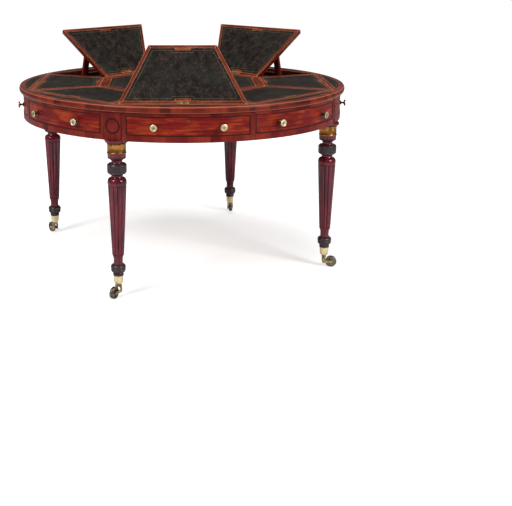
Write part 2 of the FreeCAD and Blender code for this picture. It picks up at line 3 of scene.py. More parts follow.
import logging
import math
from dataclasses import dataclass, field
from enum import Enum
from typing import Callable, Sequence

import bmesh
import bpy
from bmesh.types import BMFace, BMVert
from bpy.types import Material
from mathutils import Matrix, Vector


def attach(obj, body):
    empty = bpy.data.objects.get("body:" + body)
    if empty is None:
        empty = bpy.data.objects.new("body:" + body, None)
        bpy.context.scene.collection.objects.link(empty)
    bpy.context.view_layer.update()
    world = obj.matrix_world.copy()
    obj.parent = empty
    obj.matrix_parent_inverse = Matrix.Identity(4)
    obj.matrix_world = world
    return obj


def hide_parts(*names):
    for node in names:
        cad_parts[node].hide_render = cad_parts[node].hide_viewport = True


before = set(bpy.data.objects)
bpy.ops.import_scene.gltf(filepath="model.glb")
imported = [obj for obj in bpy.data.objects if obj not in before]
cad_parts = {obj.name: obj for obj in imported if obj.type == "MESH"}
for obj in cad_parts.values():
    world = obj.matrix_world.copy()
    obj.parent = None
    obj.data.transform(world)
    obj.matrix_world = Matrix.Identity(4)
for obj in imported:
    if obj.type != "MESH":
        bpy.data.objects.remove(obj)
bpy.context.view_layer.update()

log = logging.getLogger("library_table")

Point = tuple[float, float]
Colour = tuple[int, int, int]
HALF_SECTOR = math.radians(22.5)
LAY = "lay"
COPY_STEP = 0.731  # how far the grain moves on from one copy to the next
SAME_PLACE = 1e-6  # points nearer than this are one
SHARP_ANGLE = math.radians(38)  # edges above it are shaded sharp
SOFTENED_ANGLE = math.radians(40)  # edges above it are chamfered


class Hinged(Enum):
    """Which edge of a slope its hinge is on."""

    INNER = -1
    OUTER = 1


@dataclass(frozen=True)
class Sector:
    """One of the eight sectors of the top.

    Attributes:
        name: Plain name of the side that it faces.
        azimuth: Direction of its middle, in degrees.
        hinged: Edge that its slope turns about.
        tilt: Angle at which its slope stands at rest, in degrees.
        drawer: True where its frieze front is a real drawer.
    """

    name: str
    azimuth: float
    hinged: Hinged
    tilt: float
    drawer: bool

    @property
    def turn(self) -> Matrix:
        """Rotation from the sector along +X to this one."""
        return turned_by(self.azimuth)

    @property
    def body(self) -> str:
        """CAD body that carries its frieze front."""
        return "drawer_" + self.name if self.drawer else "table"


SECTORS = (
    Sector("front", -90, Hinged.OUTER, 49.4, True),
    Sector("front_right", -45, Hinged.OUTER, 0, False),
    Sector("right", 0, Hinged.OUTER, 0, True),
    Sector("back_right", 45, Hinged.INNER, 51.8, False),
    Sector("back", 90, Hinged.OUTER, 0, True),
    Sector("back_left", 135, Hinged.INNER, 51.8, False),
    Sector("left", 180, Hinged.OUTER, 0, True),
    Sector("front_left", -135, Hinged.OUTER, 0, False),
)
CORNERS = {"front_left": -112.5, "front_right": -22.5, "back_right": 67.5, "back_left": 157.5}
STILES = (-67.5, 22.5, 112.5, -157.5)


def turned(table: str) -> list[Point]:
    """Outline in metres from radius and height in millimetres, with commas between the points."""
    pairs = (point.split() for point in table.split(","))
    return [(float(radius) / 1000, float(height) / 1000) for radius, height in pairs]


FOOT = turned("0 62, 14 62, 14 87, 20 87.2, 20.6 90, 20.6 94.2, 19.5 97.2, 18.3 99, 0 99")
BULB = turned(
    "0 99, 19.5 99.2, 24.5 101.4, 27.5 105.3, 28.6 110.2, 28 114.1, 26.8 115.7, 28.2 117, "
    "29.3 119.9, 29.1 123.8, 27.2 128.1, 23.8 131.3, 19 133, 0 133"
)
NECK = turned(
    "0 133, 18.6 133.1, 17.9 137.4, 17.6 143.9, 17.8 152.6, 18.6 159.2, 20.3 165.2, 22.2 168.5, "
    "22.8 171, 0 171"
)
SHOULDER = turned(
    "0 448, 35.6 448, 36.6 451.7, 36.9 457.2, 36.6 463.5, 35.2 469.1, 32.2 474.1, 27.2 477, "
    "24 478.1, 22.6 480.7, 22.2 482.9, 22.6 485.8, 24 488.1, 0 488.7"
)
BOBBIN_LOW = turned("0 488.5, 24.6 488.7, 30 490.5, 34.5 493.7, 36.2 496.8")
GROOVE = turned("36.4 -0.2, 37.4 0.5, 37.6 2.7, 37.4 4.9, 36.4 5.6")
BOBBIN_HIGH = turned("36 528, 34.5 530.5, 31.8 532.1, 0 532.3")
UPPER = turned("0 532, 23.6 532.4, 21.6 534.5, 20.8 538.2, 21.2 542.5, 23 546, 0 546.2")
BEAD = turned(
    "0 546, 22.5 546.2, 29 548.8, 33.8 551.8, 35.2 553.8, 35.1 555.6, 33.8 556.2, 0 556.4"
)
RING = turned(
    "0 556.2, 33.8 556.4, 35 557.8, 35.3 560, 35.3 571, 31.2 571, 31.2 612, 35.2 612.2, 35.4 614, "
    "42.4 614.2, 44.3 615.4, 45.3 617.4, 45.5 619.5, 45.5 625, 0 625"
)
COLLAR = turned(
    "31.2 571.2, 36.2 571.2, 37.4 572.5, 37.4 575, 36.2 576.3, 35.7 577.7, 35.7 604.9, 36.2 606.5, "
    "37.4 607.7, 37.4 610.3, 36.2 611.8, 31.2 611.8"
)
SOCKET = turned(
    "3.6 52, 10.5 52, 13.5 53.2, 15.6 56, 16.8 60.2, 17.6 66.3, 18.2 77.2, 18.4 81, 19.2 81.8, "
    "19.3 86.1, 18.4 87, 14.1 87, 14.1 62.1, 3.6 62.1"
)
KNOB = turned(
    "0 -12, 3.6 -12, 3.6 -2, 9 -2, 9 1.5, 7.5 2.5, 4.2 4, 3.6 8, 4.4 12.5, 9 14.2, 12.5 15.2, "
    "13.7 17.2, 13.7 19.6, 12.7 21.4, 10.8 22.2, 9.6 21.4, 7.9 21.2, 5.8 21.3, 5.2 22, 4.5 22.2, "
    "2.6 21.5, 0 21.4"
)


def linear(colour: Colour) -> tuple[float, float, float, float]:
    """Turn a colour as seen on a screen into a shader's colour.

    Args:
        colour: Red, green and blue from 0 to 255.

    Returns:
        Linear red, green and blue, and an alpha of 1.
    """
    parts = []
    for part in colour:
        share = part / 255
        parts.append(share / 12.92 if share <= 0.04045 else ((share + 0.055) / 1.055) ** 2.4)
    return (*parts, 1.0)


class Wire:
    """A shader socket that can stand in a Python sum."""

    def __init__(self, graph: "Graph", socket: bpy.types.NodeSocket) -> None:
        """Wrap an output of a graph."""
        self.graph = graph
        self.socket = socket

    def __add__(self, other: "Wire | float") -> "Wire":
        """Sum of two values."""
        return self.graph.maths("ADD", self, other)

    __radd__ = __add__

    def __sub__(self, other: "Wire | float") -> "Wire":
        """Difference of two values."""
        return self.graph.maths("SUBTRACT", self, other)

    def __rsub__(self, other: "Wire | float") -> "Wire":
        """Difference of two values, reflected."""
        return self.graph.maths("SUBTRACT", other, self)

    def __mul__(self, other: "Wire | float") -> "Wire":
        """Product of two values."""
        return self.graph.maths("MULTIPLY", self, other)

    __rmul__ = __mul__

    def __truediv__(self, other: "Wire | float") -> "Wire":
        """Quotient of two values."""
        return self.graph.maths("DIVIDE", self, other)


class Graph:
    """Node graph of one material, with a Principled shader at its end."""

    def __init__(self, name: str, owner: bpy.types.ID | None = None) -> None:
        """Start a graph.

        Args:
            name: Name of the finish.
            owner: World or other owner of the graph; a new material where it is left out.
        """
        self.material = owner or bpy.data.materials.new(name)
        self.material.use_nodes = True
        self.tree = self.material.node_tree
        self.shader = self.tree.nodes.get("Principled BSDF")

    def node(self, kind: str, settings: dict, values: dict, output: int = 0) -> Wire:
        """Add one node.

        Args:
            kind: Blender's name for the node's type.
            settings: Properties of the node, set first.
            values: Socket name or number to a value or a wire.
            output: Number of the output wanted.

        Returns:
            The chosen output.
        """
        made = self.tree.nodes.new(kind)
        for name, value in settings.items():
            setattr(made, name, value)
        for name, value in values.items():
            self.feed(made.inputs[name], value)
        return Wire(self, made.outputs[output])

    def feed(self, socket: bpy.types.NodeSocket, value: object) -> None:
        """Link or set one input.

        Args:
            socket: The input.
            value: A wire to link, or a plain value to set.
        """
        if isinstance(value, Wire):
            self.tree.links.new(value.socket, socket)
        else:
            socket.default_value = value

    def maths(self, operation: str, *values: "Wire | float") -> Wire:
        """Result of a Math node with one to three inputs."""
        return self.node("ShaderNodeMath", {"operation": operation}, dict(enumerate(values)))

    def mix(self, factor: "Wire | float", first: object, second: object) -> Wire:
        """Mix of two colours or wires, where the factor is the share of the second."""
        values = {0: factor, 6: first, 7: second}
        return self.node("ShaderNodeMix", {"data_type": "RGBA"}, values, 2)

    def combine(self, x: "Wire | float", y: "Wire | float", z: "Wire | float") -> Wire:
        """Build a vector from three values."""
        return self.node("ShaderNodeCombineXYZ", {}, {0: x, 1: y, 2: z})

    def separate(self, vector: Wire) -> tuple[Wire, ...]:
        """Split a vector into its three values."""
        made = self.node("ShaderNodeSeparateXYZ", {}, {0: vector}).socket.node
        return tuple(Wire(self, output) for output in made.outputs)

    def noise(self, vector: Wire, scale: float, detail: float = 3.0, rough: float = 0.55) -> Wire:
        """Noise from 0 to 1 with a scale, a number of octaves and the weight of the finer ones."""
        values = {"Vector": vector, "Scale": scale, "Detail": detail, "Roughness": rough}
        return self.node("ShaderNodeTexNoise", {}, values)

    def spread(self, value: Wire, low: float, high: float) -> Wire:
        """Stretch the values from low to high over 0 to 1, softly at both ends."""
        values = {"Value": value, "From Min": low, "From Max": high}
        return self.node("ShaderNodeMapRange", {"interpolation_type": "SMOOTHSTEP"}, values)

    def line(self, value: Wire, centre: float, half: float, soft: float) -> Wire:
        """Mask that is 1 within half a line's width of its centre, with a soft edge."""
        away = self.maths("ABSOLUTE", value - centre)
        return 1.0 - self.spread(away, half, half + soft)

    def lay(self) -> tuple[Wire, ...]:
        """Place along, across and through the wood, kept on the mesh."""
        return self.separate(self.node("ShaderNodeAttribute", {"attribute_name": LAY}, {}, 1))

    def place(self) -> tuple[Wire, ...]:
        """Place on the object, in its own coordinates."""
        return self.separate(self.node("ShaderNodeTexCoord", {}, {}, 3))

    def bump(self, height: Wire, distance: float, strength: float = 1.0) -> None:
        """Feed a height from 0 to 1 to the normal, the distance being the real depth of 1."""
        values = {"Height": height, "Distance": distance, "Strength": strength}
        self.feed(self.shader.inputs["Normal"], self.node("ShaderNodeBump", {}, values))

    def finish(self, colour: object, roughness: object, **constants: float) -> Material:
        """Feed colour and roughness and set the shader's constants.

        Args:
            colour: Base colour.
            roughness: Roughness.
            **constants: Shader inputs by name, with _ for a space.

        Returns:
            The material.
        """
        self.feed(self.shader.inputs["Base Color"], colour)
        self.feed(self.shader.inputs["Roughness"], roughness)
        for name, value in constants.items():
            self.shader.inputs[name.replace("_", " ")].default_value = value
        return self.material


@dataclass(frozen=True)
class PolishedWood:
    """Polished wood whose grain runs along the first lay direction.

    Attributes:
        name: Name of the finish.
        deep: Colour of the pores and dark streaks.
        body: Main colour.
        light: Colour of the light figure.
        figure: How much of the light figure shows.
        shine: Level of the reflections.
        roughness: Mean roughness.
        carried: True for a piece that has no lay of its own.
        keyhole: Height of the keyhole in the middle of a front, or 0 for none.
    """

    name: str
    deep: Colour
    body: Colour
    light: Colour
    figure: float = 0.6
    shine: float = 0.3
    roughness: float = 0.34
    carried: bool = False
    keyhole: float = 0.0

    def build(self) -> Material:
        """Make the material.

        Returns:
            The material.
        """
        graph = Graph(self.name)
        along, across, through = graph.place() if self.carried else graph.lay()
        fibres = graph.noise(graph.combine(along * 12, across * 320, through * 320), 1.0, 5.0, 0.6)
        streaks = graph.noise(graph.combine(along * 6, across * 130, through * 130), 1.0, 4.0, 0.6)
        clouds = graph.noise(graph.combine(along * 9, across * 26, through * 20), 1.0, 3.0, 0.6)
        colour = graph.mix(graph.spread(streaks, 0.32, 0.66), linear(self.deep), linear(self.body))
        lively = graph.spread(clouds, 0.42, 0.68) * graph.spread(streaks, 0.3, 0.6) * self.figure
        colour = graph.mix(lively, colour, linear(self.light))
        pores = graph.spread(fibres, 0.6, 0.75) * 0.4
        colour = graph.mix(pores, colour, linear(self.deep))
        if self.keyhole:
            colour = self.add_keyhole(graph, colour, along, across)
        rough = self.roughness + 0.1 * (clouds - 0.5)
        graph.bump(fibres, 0.00004, 0.5)
        return graph.finish(colour, rough, Specular_IOR_Level=self.shine)

    def add_keyhole(self, graph: Graph, colour: Wire, along: Wire, across: Wire) -> Wire:
        """Let a small brass escutcheon into the wood, with its keyhole painted near-black as the
        shade in the hole.

        Args:
            graph: Graph of the wood.
            colour: Colour of the wood.
            along: Place along the front, whole metres apart from one front to the next.
            across: Height above the floor.

        Returns:
            The colour with the escutcheon in it.
        """
        narrow, plate_edge, eye_up, eye_edge = 2.2, (0.0052, 0.0062), 0.0018, (0.0014, 0.0019)
        slot_half, slot_down, slot_reach, soft = 0.0007, -0.0014, 0.003, 0.0004
        # the near-black keyhole is painted shade, standing for the dark inside the hole
        brass, dark = linear((112, 76, 40)), linear((16, 10, 8))
        aside = along - graph.maths("ROUND", along)
        up = across - self.keyhole
        plate = graph.maths("SQRT", aside * aside * narrow + up * up)
        colour = graph.mix(1.0 - graph.spread(plate, *plate_edge), colour, brass)
        eye = graph.maths("SQRT", aside * aside + (up - eye_up) * (up - eye_up))
        slot = graph.line(aside, 0.0, slot_half, soft) * graph.line(up, slot_down, slot_reach, soft)
        hole = graph.maths("MAXIMUM", 1.0 - graph.spread(eye, *eye_edge), slot)
        return graph.mix(hole, colour, dark)


@dataclass(frozen=True)
class Crossbanding:
    """Short-grained banding: blocks of veneer laid side by side, the grain across the band.

    Attributes:
        name: Name of the finish.
        deep: Dark colour.
        body: Main colour.
        light: Light colour.
        block: Length of one block of veneer, in metres.
        shine: Level of the reflections.
        lines: Place across the band, half width and colour of each line on it: inlaid lines and
            painted highlights.
    """

    name: str
    deep: Colour
    body: Colour
    light: Colour
    block: float = 0.042
    shine: float = 0.3
    lines: tuple[tuple[float, float, Colour], ...] = ()

    def build(self) -> Material:
        """Make the material.

        Returns:
            The material.
        """
        graph = Graph(self.name)
        along, across, through = graph.lay()
        wavy = along + 0.006 * graph.noise(graph.combine(along * 30, across * 20, through), 1.0)
        number = graph.maths("FLOOR", wavy / self.block)
        seed = graph.combine(number, graph.maths("FLOOR", through * 3), 0.0)
        chance = graph.node("ShaderNodeTexWhiteNoise", {"noise_dimensions": "2D"}, {"Vector": seed})
        fibres = graph.noise(graph.combine(along * 300, across * 12, number), 1.0, 4.0, 0.6)
        clouds = graph.noise(graph.combine(along * 16, across * 9, through), 1.0, 2.0)
        tone = chance * 0.75 + 0.35 * graph.spread(clouds, 0.35, 0.7)
        colour = graph.mix(tone, linear(self.body), linear(self.light))
        colour = graph.mix(graph.spread(fibres, 0.5, 0.75) * 0.5, colour, linear(self.deep))
        for middle, half, shade in self.lines:
            colour = graph.mix(graph.line(across, middle, half, half * 0.4), colour, linear(shade))
        return graph.finish(colour, 0.26 + 0.1 * fibres, Specular_IOR_Level=self.shine)


@dataclass(frozen=True)
class RoundelVeneer:
    """Veneer of a leg block, with a dark ring let into it.

    Attributes:
        name: Name of the finish.
        radius: Radius of the ring.
        height: Height of its middle above the floor.
        line_half: Half the ring's width.
        line_soft: Width of its soft edge.
    """

    name: str
    radius: float
    height: float
    line_half: float = 0.0024
    line_soft: float = 0.0016

    def build(self) -> Material:
        """Make the material.

        Returns:
            The material.
        """
        graph = Graph(self.name)
        along, across, through = graph.lay()
        streaks = graph.noise(graph.combine(along * 60, across * 6, through * 40), 1.0, 4.0)
        clouds = graph.noise(graph.combine(along * 14, across * 14, through * 9), 1.0, 3.0)
        tone = graph.spread(streaks, 0.3, 0.7)
        colour = graph.mix(tone, linear((86, 14, 14)), linear((116, 28, 22)))
        colour = graph.mix(graph.spread(clouds, 0.45, 0.75) * 0.5, colour, linear((140, 50, 32)))
        up = across - self.height
        away = graph.maths("SQRT", along * along + up * up)
        ring = graph.line(away, self.radius, self.line_half, self.line_soft)
        colour = graph.mix(ring, colour, linear((44, 12, 14)))
        return graph.finish(colour, 0.3 + 0.1 * clouds, Specular_IOR_Level=0.14)


@dataclass(frozen=True)
class WornLeather:
    """Old dark leather, mottled and a little glossy.

    Attributes:
        name: Name of the finish.
        dark: Colour of the dark patches.
        body: Main colour.
        worn: Colour of the rubbed patches.
        roughness: Mean roughness.
    """

    name: str
    dark: Colour = (15, 12, 11)
    body: Colour = (44, 36, 32)
    worn: Colour = (92, 80, 66)
    roughness: float = 0.6

    def build(self) -> Material:
        """Make the material.

        Returns:
            The material.
        """
        graph = Graph(self.name)
        along, across, through = graph.lay()
        vector = graph.combine(along, across, through)
        patches = graph.noise(vector, 36.0, 6.0, 0.74)
        specks = graph.noise(graph.combine(along * 0.6, across, through), 170.0, 4.0, 0.7)
        stains = graph.noise(vector, 7.0, 3.0)
        colour = graph.mix(graph.spread(patches, 0.34, 0.66), linear(self.dark), linear(self.body))
        colour = graph.mix(graph.spread(stains, 0.48, 0.7) * 0.5, colour, linear((36, 42, 36)))
        rubbed = graph.spread(specks, 0.52, 0.74) * graph.spread(patches, 0.36, 0.7)
        colour = graph.mix(rubbed, colour, linear(self.worn))
        values = {"Vector": vector, "Scale": 900.0}
        grain = graph.node("ShaderNodeTexVoronoi", {"feature": "DISTANCE_TO_EDGE"}, values)
        graph.bump(graph.spread(grain, 0.0, 0.25), 0.00012, 0.6)
        rough = self.roughness + 0.22 * (patches - 0.5)
        return graph.finish(colour, rough, Specular_IOR_Level=0.05)


@dataclass(frozen=True)
class AgedMetal:
    """Metal with tarnish in patches.

    Attributes:
        name: Name of the finish.
        bright: Colour of the rubbed metal.
        tarnish: Colour of the tarnish.
        share: How much of the tarnish shows.
        roughness: Mean roughness.
    """

    name: str
    bright: Colour
    tarnish: Colour
    share: float = 0.5
    roughness: float = 0.3

    def build(self) -> Material:
        """Make the material.

        Returns:
            The material.
        """
        graph = Graph(self.name)
        x, y, z = graph.place()
        vector = graph.combine(x, y, z)
        patches = graph.noise(vector, 60.0, 4.0, 0.65)
        fine = graph.noise(vector, 420.0, 3.0)
        mask = graph.spread(patches, 0.4, 0.65) * self.share
        colour = graph.mix(mask, linear(self.bright), linear(self.tarnish))
        graph.bump(fine, 0.00005, 0.4)
        return graph.finish(colour, self.roughness + 0.25 * mask + 0.08 * fine, Metallic=1.0)


@dataclass(frozen=True)
class PlainLine:
    """Thin inlaid or tooled line, slightly uneven in tone; the light edge line is also a painted
    highlight.

    Attributes:
        name: Name of the finish.
        one: First tone.
        two: Second tone.
        roughness: Roughness.
    """

    name: str
    one: Colour
    two: Colour
    roughness: float = 0.4

    def build(self) -> Material:
        """Make the material.

        Returns:
            The material.
        """
        graph = Graph(self.name)
        along, across, through = graph.lay()
        uneven = graph.noise(graph.combine(along, across, through), 120.0, 3.0)
        colour = graph.mix(graph.spread(uneven, 0.35, 0.65), linear(self.one), linear(self.two))
        return graph.finish(colour, self.roughness + 0.1 * uneven, Specular_IOR_Level=0.15)


class Finishes:
    """Every finish of the table, made once."""

    def __init__(self) -> None:
        """Build the materials."""
        wood, metal, line = PolishedWood, AgedMetal, PlainLine
        front = ((84, 10, 12), (126, 24, 18), (172, 66, 30))
        self.frieze = wood("front_mahogany", *front, 0.75, 0.14, keyhole=0.7062).build()
        band = ((54, 6, 12), (80, 12, 18), (132, 42, 28))
        self.band = Crossbanding("crossbanded_mahogany", *band, shine=0.12).build()
        rim = ((40, 7, 10), (62, 12, 12), (126, 44, 26))
        # the dark line lies at the joint with the chord rails; the light line at the rounded outer
        # edge is a painted highlight
        rim_joint_line_and_highlight = ((0.6730, 0.0013, (48, 16, 14)), (0.6968, 0.0007, (168, 96, 66)))
        self.rim = Crossbanding("rim_banding", *rim, shine=0.12, lines=rim_joint_line_and_highlight).build()
        rail = ((58, 16, 12), (100, 38, 24), (142, 74, 42))
        self.rail = wood("top_rail_mahogany", *rail, shine=0.08, roughness=0.44).build()
        strip = ((78, 16, 14), (112, 32, 24), (146, 64, 38))
        self.strip = wood("strip_mahogany", *strip, shine=0.14).build()
        # light line round the edges of the rail, border and tab tops: stringing and a painted edge
        # highlight
        self.string = line("light_edge_line", (196, 126, 80), (160, 88, 54)).build()
        self.dark_string = line("dark_stringing", (48, 16, 14), (62, 22, 16)).build()
        self.roundel = RoundelVeneer("leg_block_veneer", 0.0272, 0.6803).build()
        leg = ((54, 6, 24), (106, 18, 38), (146, 46, 54))
        self.turned = wood("turned_mahogany", *leg, 0.4, 0.4, 0.16).build()
        black = ((32, 20, 24), (58, 42, 46), (86, 64, 64))
        self.ebonised = wood("ebonised_wood", *black, 0.4, 0.5, 0.3).build()
        under = ((78, 18, 16), (116, 34, 26), (146, 60, 40))
        self.under = wood("under_frame_mahogany", *under, 0.4).build()
        bare = ((104, 66, 38), (150, 104, 62), (176, 130, 84))
        self.carcase = wood("carcase_wood", *bare, 0.4, 0.1, 0.6, True).build()
        self.leather = WornLeather("table_leather").build()
        lining = ((16, 17, 18), (30, 32, 30), (52, 50, 44))
        self.lining = WornLeather("well_leather", *lining, 0.62).build()
        self.tooling = line("tooled_line", (96, 86, 72), (66, 58, 48), 0.5).build()
        self.brass = metal("aged_brass", (178, 122, 66), (70, 46, 26), 0.75, 0.2).build()
        self.pale_brass = metal("pale_brass", (255, 236, 190), (200, 156, 96), 0.35, 0.3).build()
        self.dull_brass = metal("dull_brass", (138, 128, 112), (52, 44, 38), 0.85, 0.3).build()
        self.knob = metal("knob_brass", (226, 212, 176), (158, 138, 100), 0.5, 0.34).build()
        # dark metal of the knobs' middles and rings, also painted shade on their sides and stems
        self.bronze_and_shade = metal("dark_bronze_and_shade", (96, 78, 52), (40, 32, 24), 0.8, 0.4).build()
        self.hinge = metal("hinge_brass", (150, 128, 78), (60, 54, 34), 0.85, 0.4).build()
        self.fork = metal("fork_brass", (196, 176, 128), (84, 72, 50), 0.75, 0.3).build()
        self.iron = metal("dark_iron", (92, 84, 78), (48, 38, 32), 0.7, 0.5).build()


def polar(radius: float, angle: float) -> Point:
    """Point at a distance from the middle, in a direction in radians."""
    return (radius * math.cos(angle), radius * math.sin(angle))


def arc_points(radius: float, start: float, end: float, steps: int) -> list[Point]:
    """Points on a circle from one angle to another, both ends included."""
    return [polar(radius, start + (end - start) * number / steps) for number in range(steps + 1)]


class Form:
    """One shape, cut in a flat frame of its own and then put in its place."""

    def __init__(self) -> None:
        """Start an empty shape."""
        self.bm = bmesh.new()
        self.layer = self.bm.verts.layers.float_vector.new(LAY)
        self.grains: list[tuple[int, float]] = []

    def prism(
        self, outline: Sequence[Point], bottom: float, top: float, finish: int = 0, grain: float = 0
    ) -> BMFace:
        """Add an upright prism.

        Args:
            outline: Corners, anticlockwise seen from above.
            bottom: Height of its underside.
            top: Height of its top.
            finish: Number of its material.
            grain: Direction of its grain from +X, in degrees.

        Returns:
            Its top face.
        """
        self.grains.append((len(self.bm.verts), math.radians(grain)))
        verts = [self.bm.verts.new((x, y, bottom)) for x, y in outline]
        base = self.bm.faces.new(verts)
        base.material_index = finish
        raised, caps = self.extrude([base], True)
        bmesh.ops.translate(self.bm, verts=raised, vec=(0, 0, top - bottom))
        sides = {face for vert in raised for face in vert.link_faces}
        for face in sides:
            face.material_index = finish
        bmesh.ops.recalc_face_normals(self.bm, faces=[base, *sides])
        return caps[0]

    def extrude(self, faces: list[BMFace], keep: bool) -> tuple[list[BMVert], list[BMFace]]:
        """Extrude faces.

        Args:
            faces: The faces.
            keep: True where they stay behind as the other end.

        Returns:
            The new points and the new faces at the far end.
        """
        made = bmesh.ops.extrude_face_region(self.bm, geom=faces, use_keep_orig=keep)["geom"]
        verts = [item for item in made if isinstance(item, BMVert)]
        return verts, [item for item in made if isinstance(item, BMFace)]

    def bar(
        self, profile: Sequence[Point], length: float, steps: int = 1, middle: float = 0
    ) -> None:
        """Add a straight bar along X, cut into steps so that it can be bent.

        Args:
            profile: Corners of its section as (y, z).
            length: Its length.
            steps: Number of steps.
            middle: Place of its middle along X.
        """
        verts = [self.bm.verts.new((middle - length / 2, y, z)) for y, z in profile]
        caps = [self.bm.faces.new(verts)]
        for number in range(steps):
            moved, caps = self.extrude(caps, number == 0)
            bmesh.ops.translate(self.bm, verts=moved, vec=(length / steps, 0, 0))
        bmesh.ops.recalc_face_normals(self.bm, faces=self.bm.faces[:])

    def lathe(self, profile: Sequence[Point], steps: int, finish: int = 0) -> None:
        """Add a turned shape about the Z axis.

        Args:
            profile: Points as (radius, height); a closed loop unless it starts and ends at 0.
            steps: Number of steps round.
            finish: Number of its material.
        """
        old = set(self.bm.faces)
        verts = [self.bm.verts.new((r, 0, z)) for r, z in profile]
        edges = [self.bm.edges.new(pair) for pair in zip(verts, verts[1:])]
        if profile[0][0] > 0 or profile[-1][0] > 0:
            edges.append(self.bm.edges.new((verts[-1], verts[0])))
        bmesh.ops.spin(
            self.bm,
            geom=verts + edges,
            cent=(0, 0, 0),
            axis=(0, 0, 1),
            angle=math.tau,
            steps=steps,
            use_merge=True,
        )
        new = [face for face in self.bm.faces if face not in old]
        near = list({vert for face in new for vert in face.verts})
        bmesh.ops.remove_doubles(self.bm, verts=near, dist=SAME_PLACE)
        new = [face for face in self.bm.faces if face not in old]
        for face in new:
            face.material_index = finish
        bmesh.ops.recalc_face_normals(self.bm, faces=new)

    def inset(self, face: BMFace, width: float, finish: int, depth: float = 0.0) -> None:
        """Set a face in by an even strip.

        Args:
            face: The face, which shrinks.
            width: Width of the strip.
            finish: Number of the strip's material.
            depth: How far the shrunk face rises.
        """
        strip = bmesh.ops.inset_individual(
            self.bm, faces=[face], thickness=width, depth=depth, use_even_offset=True
        )
        for near in strip["faces"]:
            near.material_index = finish

    def soften(self, width: float) -> None:
        """Chamfer every sharp edge.

        Args:
            width: Width of the chamfer.
        """
        edges = [edge for edge in self.bm.edges if len(edge.link_faces) == 2]
        bmesh.ops.bevel(
            self.bm,
            geom=[edge for edge in edges if edge.calc_face_angle(0) > SOFTENED_ANGLE],
            offset=width,
            segments=1,
            affect="EDGES",
            profile=0.5,
            material=-1,
            clamp_overlap=True,
        )

    def note_lay(self, rule: Callable[[Vector], Sequence[float]] | None = None) -> None:
        """Keep each point's place in the flat frame for the grain.

        Args:
            rule: Gives (along, across, through) from a point. Without it each prism's own grain
                is used.
        """
        starts = self.grains or [(0, 0.0)]
        number = 0
        for index, vert in enumerate(self.bm.verts):
            while number + 1 < len(starts) and starts[number + 1][0] <= index:
                number += 1
            turned = Matrix.Rotation(-starts[number][1], 3, "Z") @ vert.co
            vert[self.layer] = Vector(rule(vert.co)) if rule else turned

    def shift_lay(self, amount: float) -> None:
        """Move the whole shape to another stretch of the wood."""
        for vert in self.bm.verts:
            vert[self.layer] = vert[self.layer] + Vector((amount, 0, amount))

    def wrap(self, radius: float) -> None:
        """Bend a flat shape round the Z axis.

        X becomes the azimuth, Y the distance outwards from the radius.

        Args:
            radius: Radius at which lengths stay true.
        """
        for vert in self.bm.verts:
            vert.co = (*polar(radius + vert.co.y, vert.co.x / radius), vert.co.z)

    def slice_x(self, half: float, steps: int) -> None:
        """Cut the shape by even planes across X, so that it can be bent.

        Args:
            half: Half its length.
            steps: Number of stretches.
        """
        for number in range(1, steps):
            x = -half + 2 * half * number / steps
            geometry = self.bm.verts[:] + self.bm.edges[:] + self.bm.faces[:]
            plane = {"plane_co": (x, 0, 0), "plane_no": (1, 0, 0)}
            bmesh.ops.bisect_plane(self.bm, geom=geometry, dist=SAME_PLACE, **plane)

    def move(self, matrix: Matrix) -> None:
        """Put the shape in its place."""
        bmesh.ops.transform(self.bm, matrix=matrix, verts=self.bm.verts[:])

    def spread(self, places: Sequence[Matrix]) -> None:
        """Repeat the shape, each copy with its own stretch of grain.

        Args:
            places: Where the copies go.
        """
        first = self.bm.verts[:] + self.bm.edges[:] + self.bm.faces[:]
        groups = [self.bm.verts[:]]
        for _ in places[1:]:
            copy = bmesh.ops.duplicate(self.bm, geom=first)["geom"]
            groups.append([item for item in copy if isinstance(item, BMVert)])
        for number, (verts, place) in enumerate(zip(groups, places)):
            for vert in verts:
                vert[self.layer] = vert[self.layer] + Vector((0, 0, COPY_STEP * number))
            bmesh.ops.transform(self.bm, matrix=place, verts=verts)

    def piece(self, name: str, body: str, node: str, slot: str, *finishes: Material) -> None:
        """Make the object and let it ride on its body.

        Args:
            name: Name of the piece.
            body: CAD body that carries it.
            node: CAD node that it stands for.
            slot: The record's material slot; not used.
            *finishes: Its materials, by number.
        """
        mesh = bpy.data.meshes.new(name)
        self.bm.to_mesh(mesh)
        self.bm.free()
        for finish in finishes:
            mesh.materials.append(finish)
        mesh.shade_smooth()
        mesh.set_sharp_from_angle(angle=SHARP_ANGLE)
        made = bpy.data.objects.new(name, mesh)
        bpy.context.scene.collection.objects.link(made)
        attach(made, body)
        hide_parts(node)
        log.info("%s: %d faces", name, len(mesh.polygons))


def rectangle(start: float, end: float, half: float) -> list[Point]:
    """Corners of a rectangle across the X axis."""
    return [(start, -half), (end, -half), (end, half), (start, half)]


def turned_by(azimuth: float) -> Matrix:
    """Rotation about the Z axis by an angle in degrees."""
    return Matrix.Rotation(math.radians(azimuth), 4, "Z")


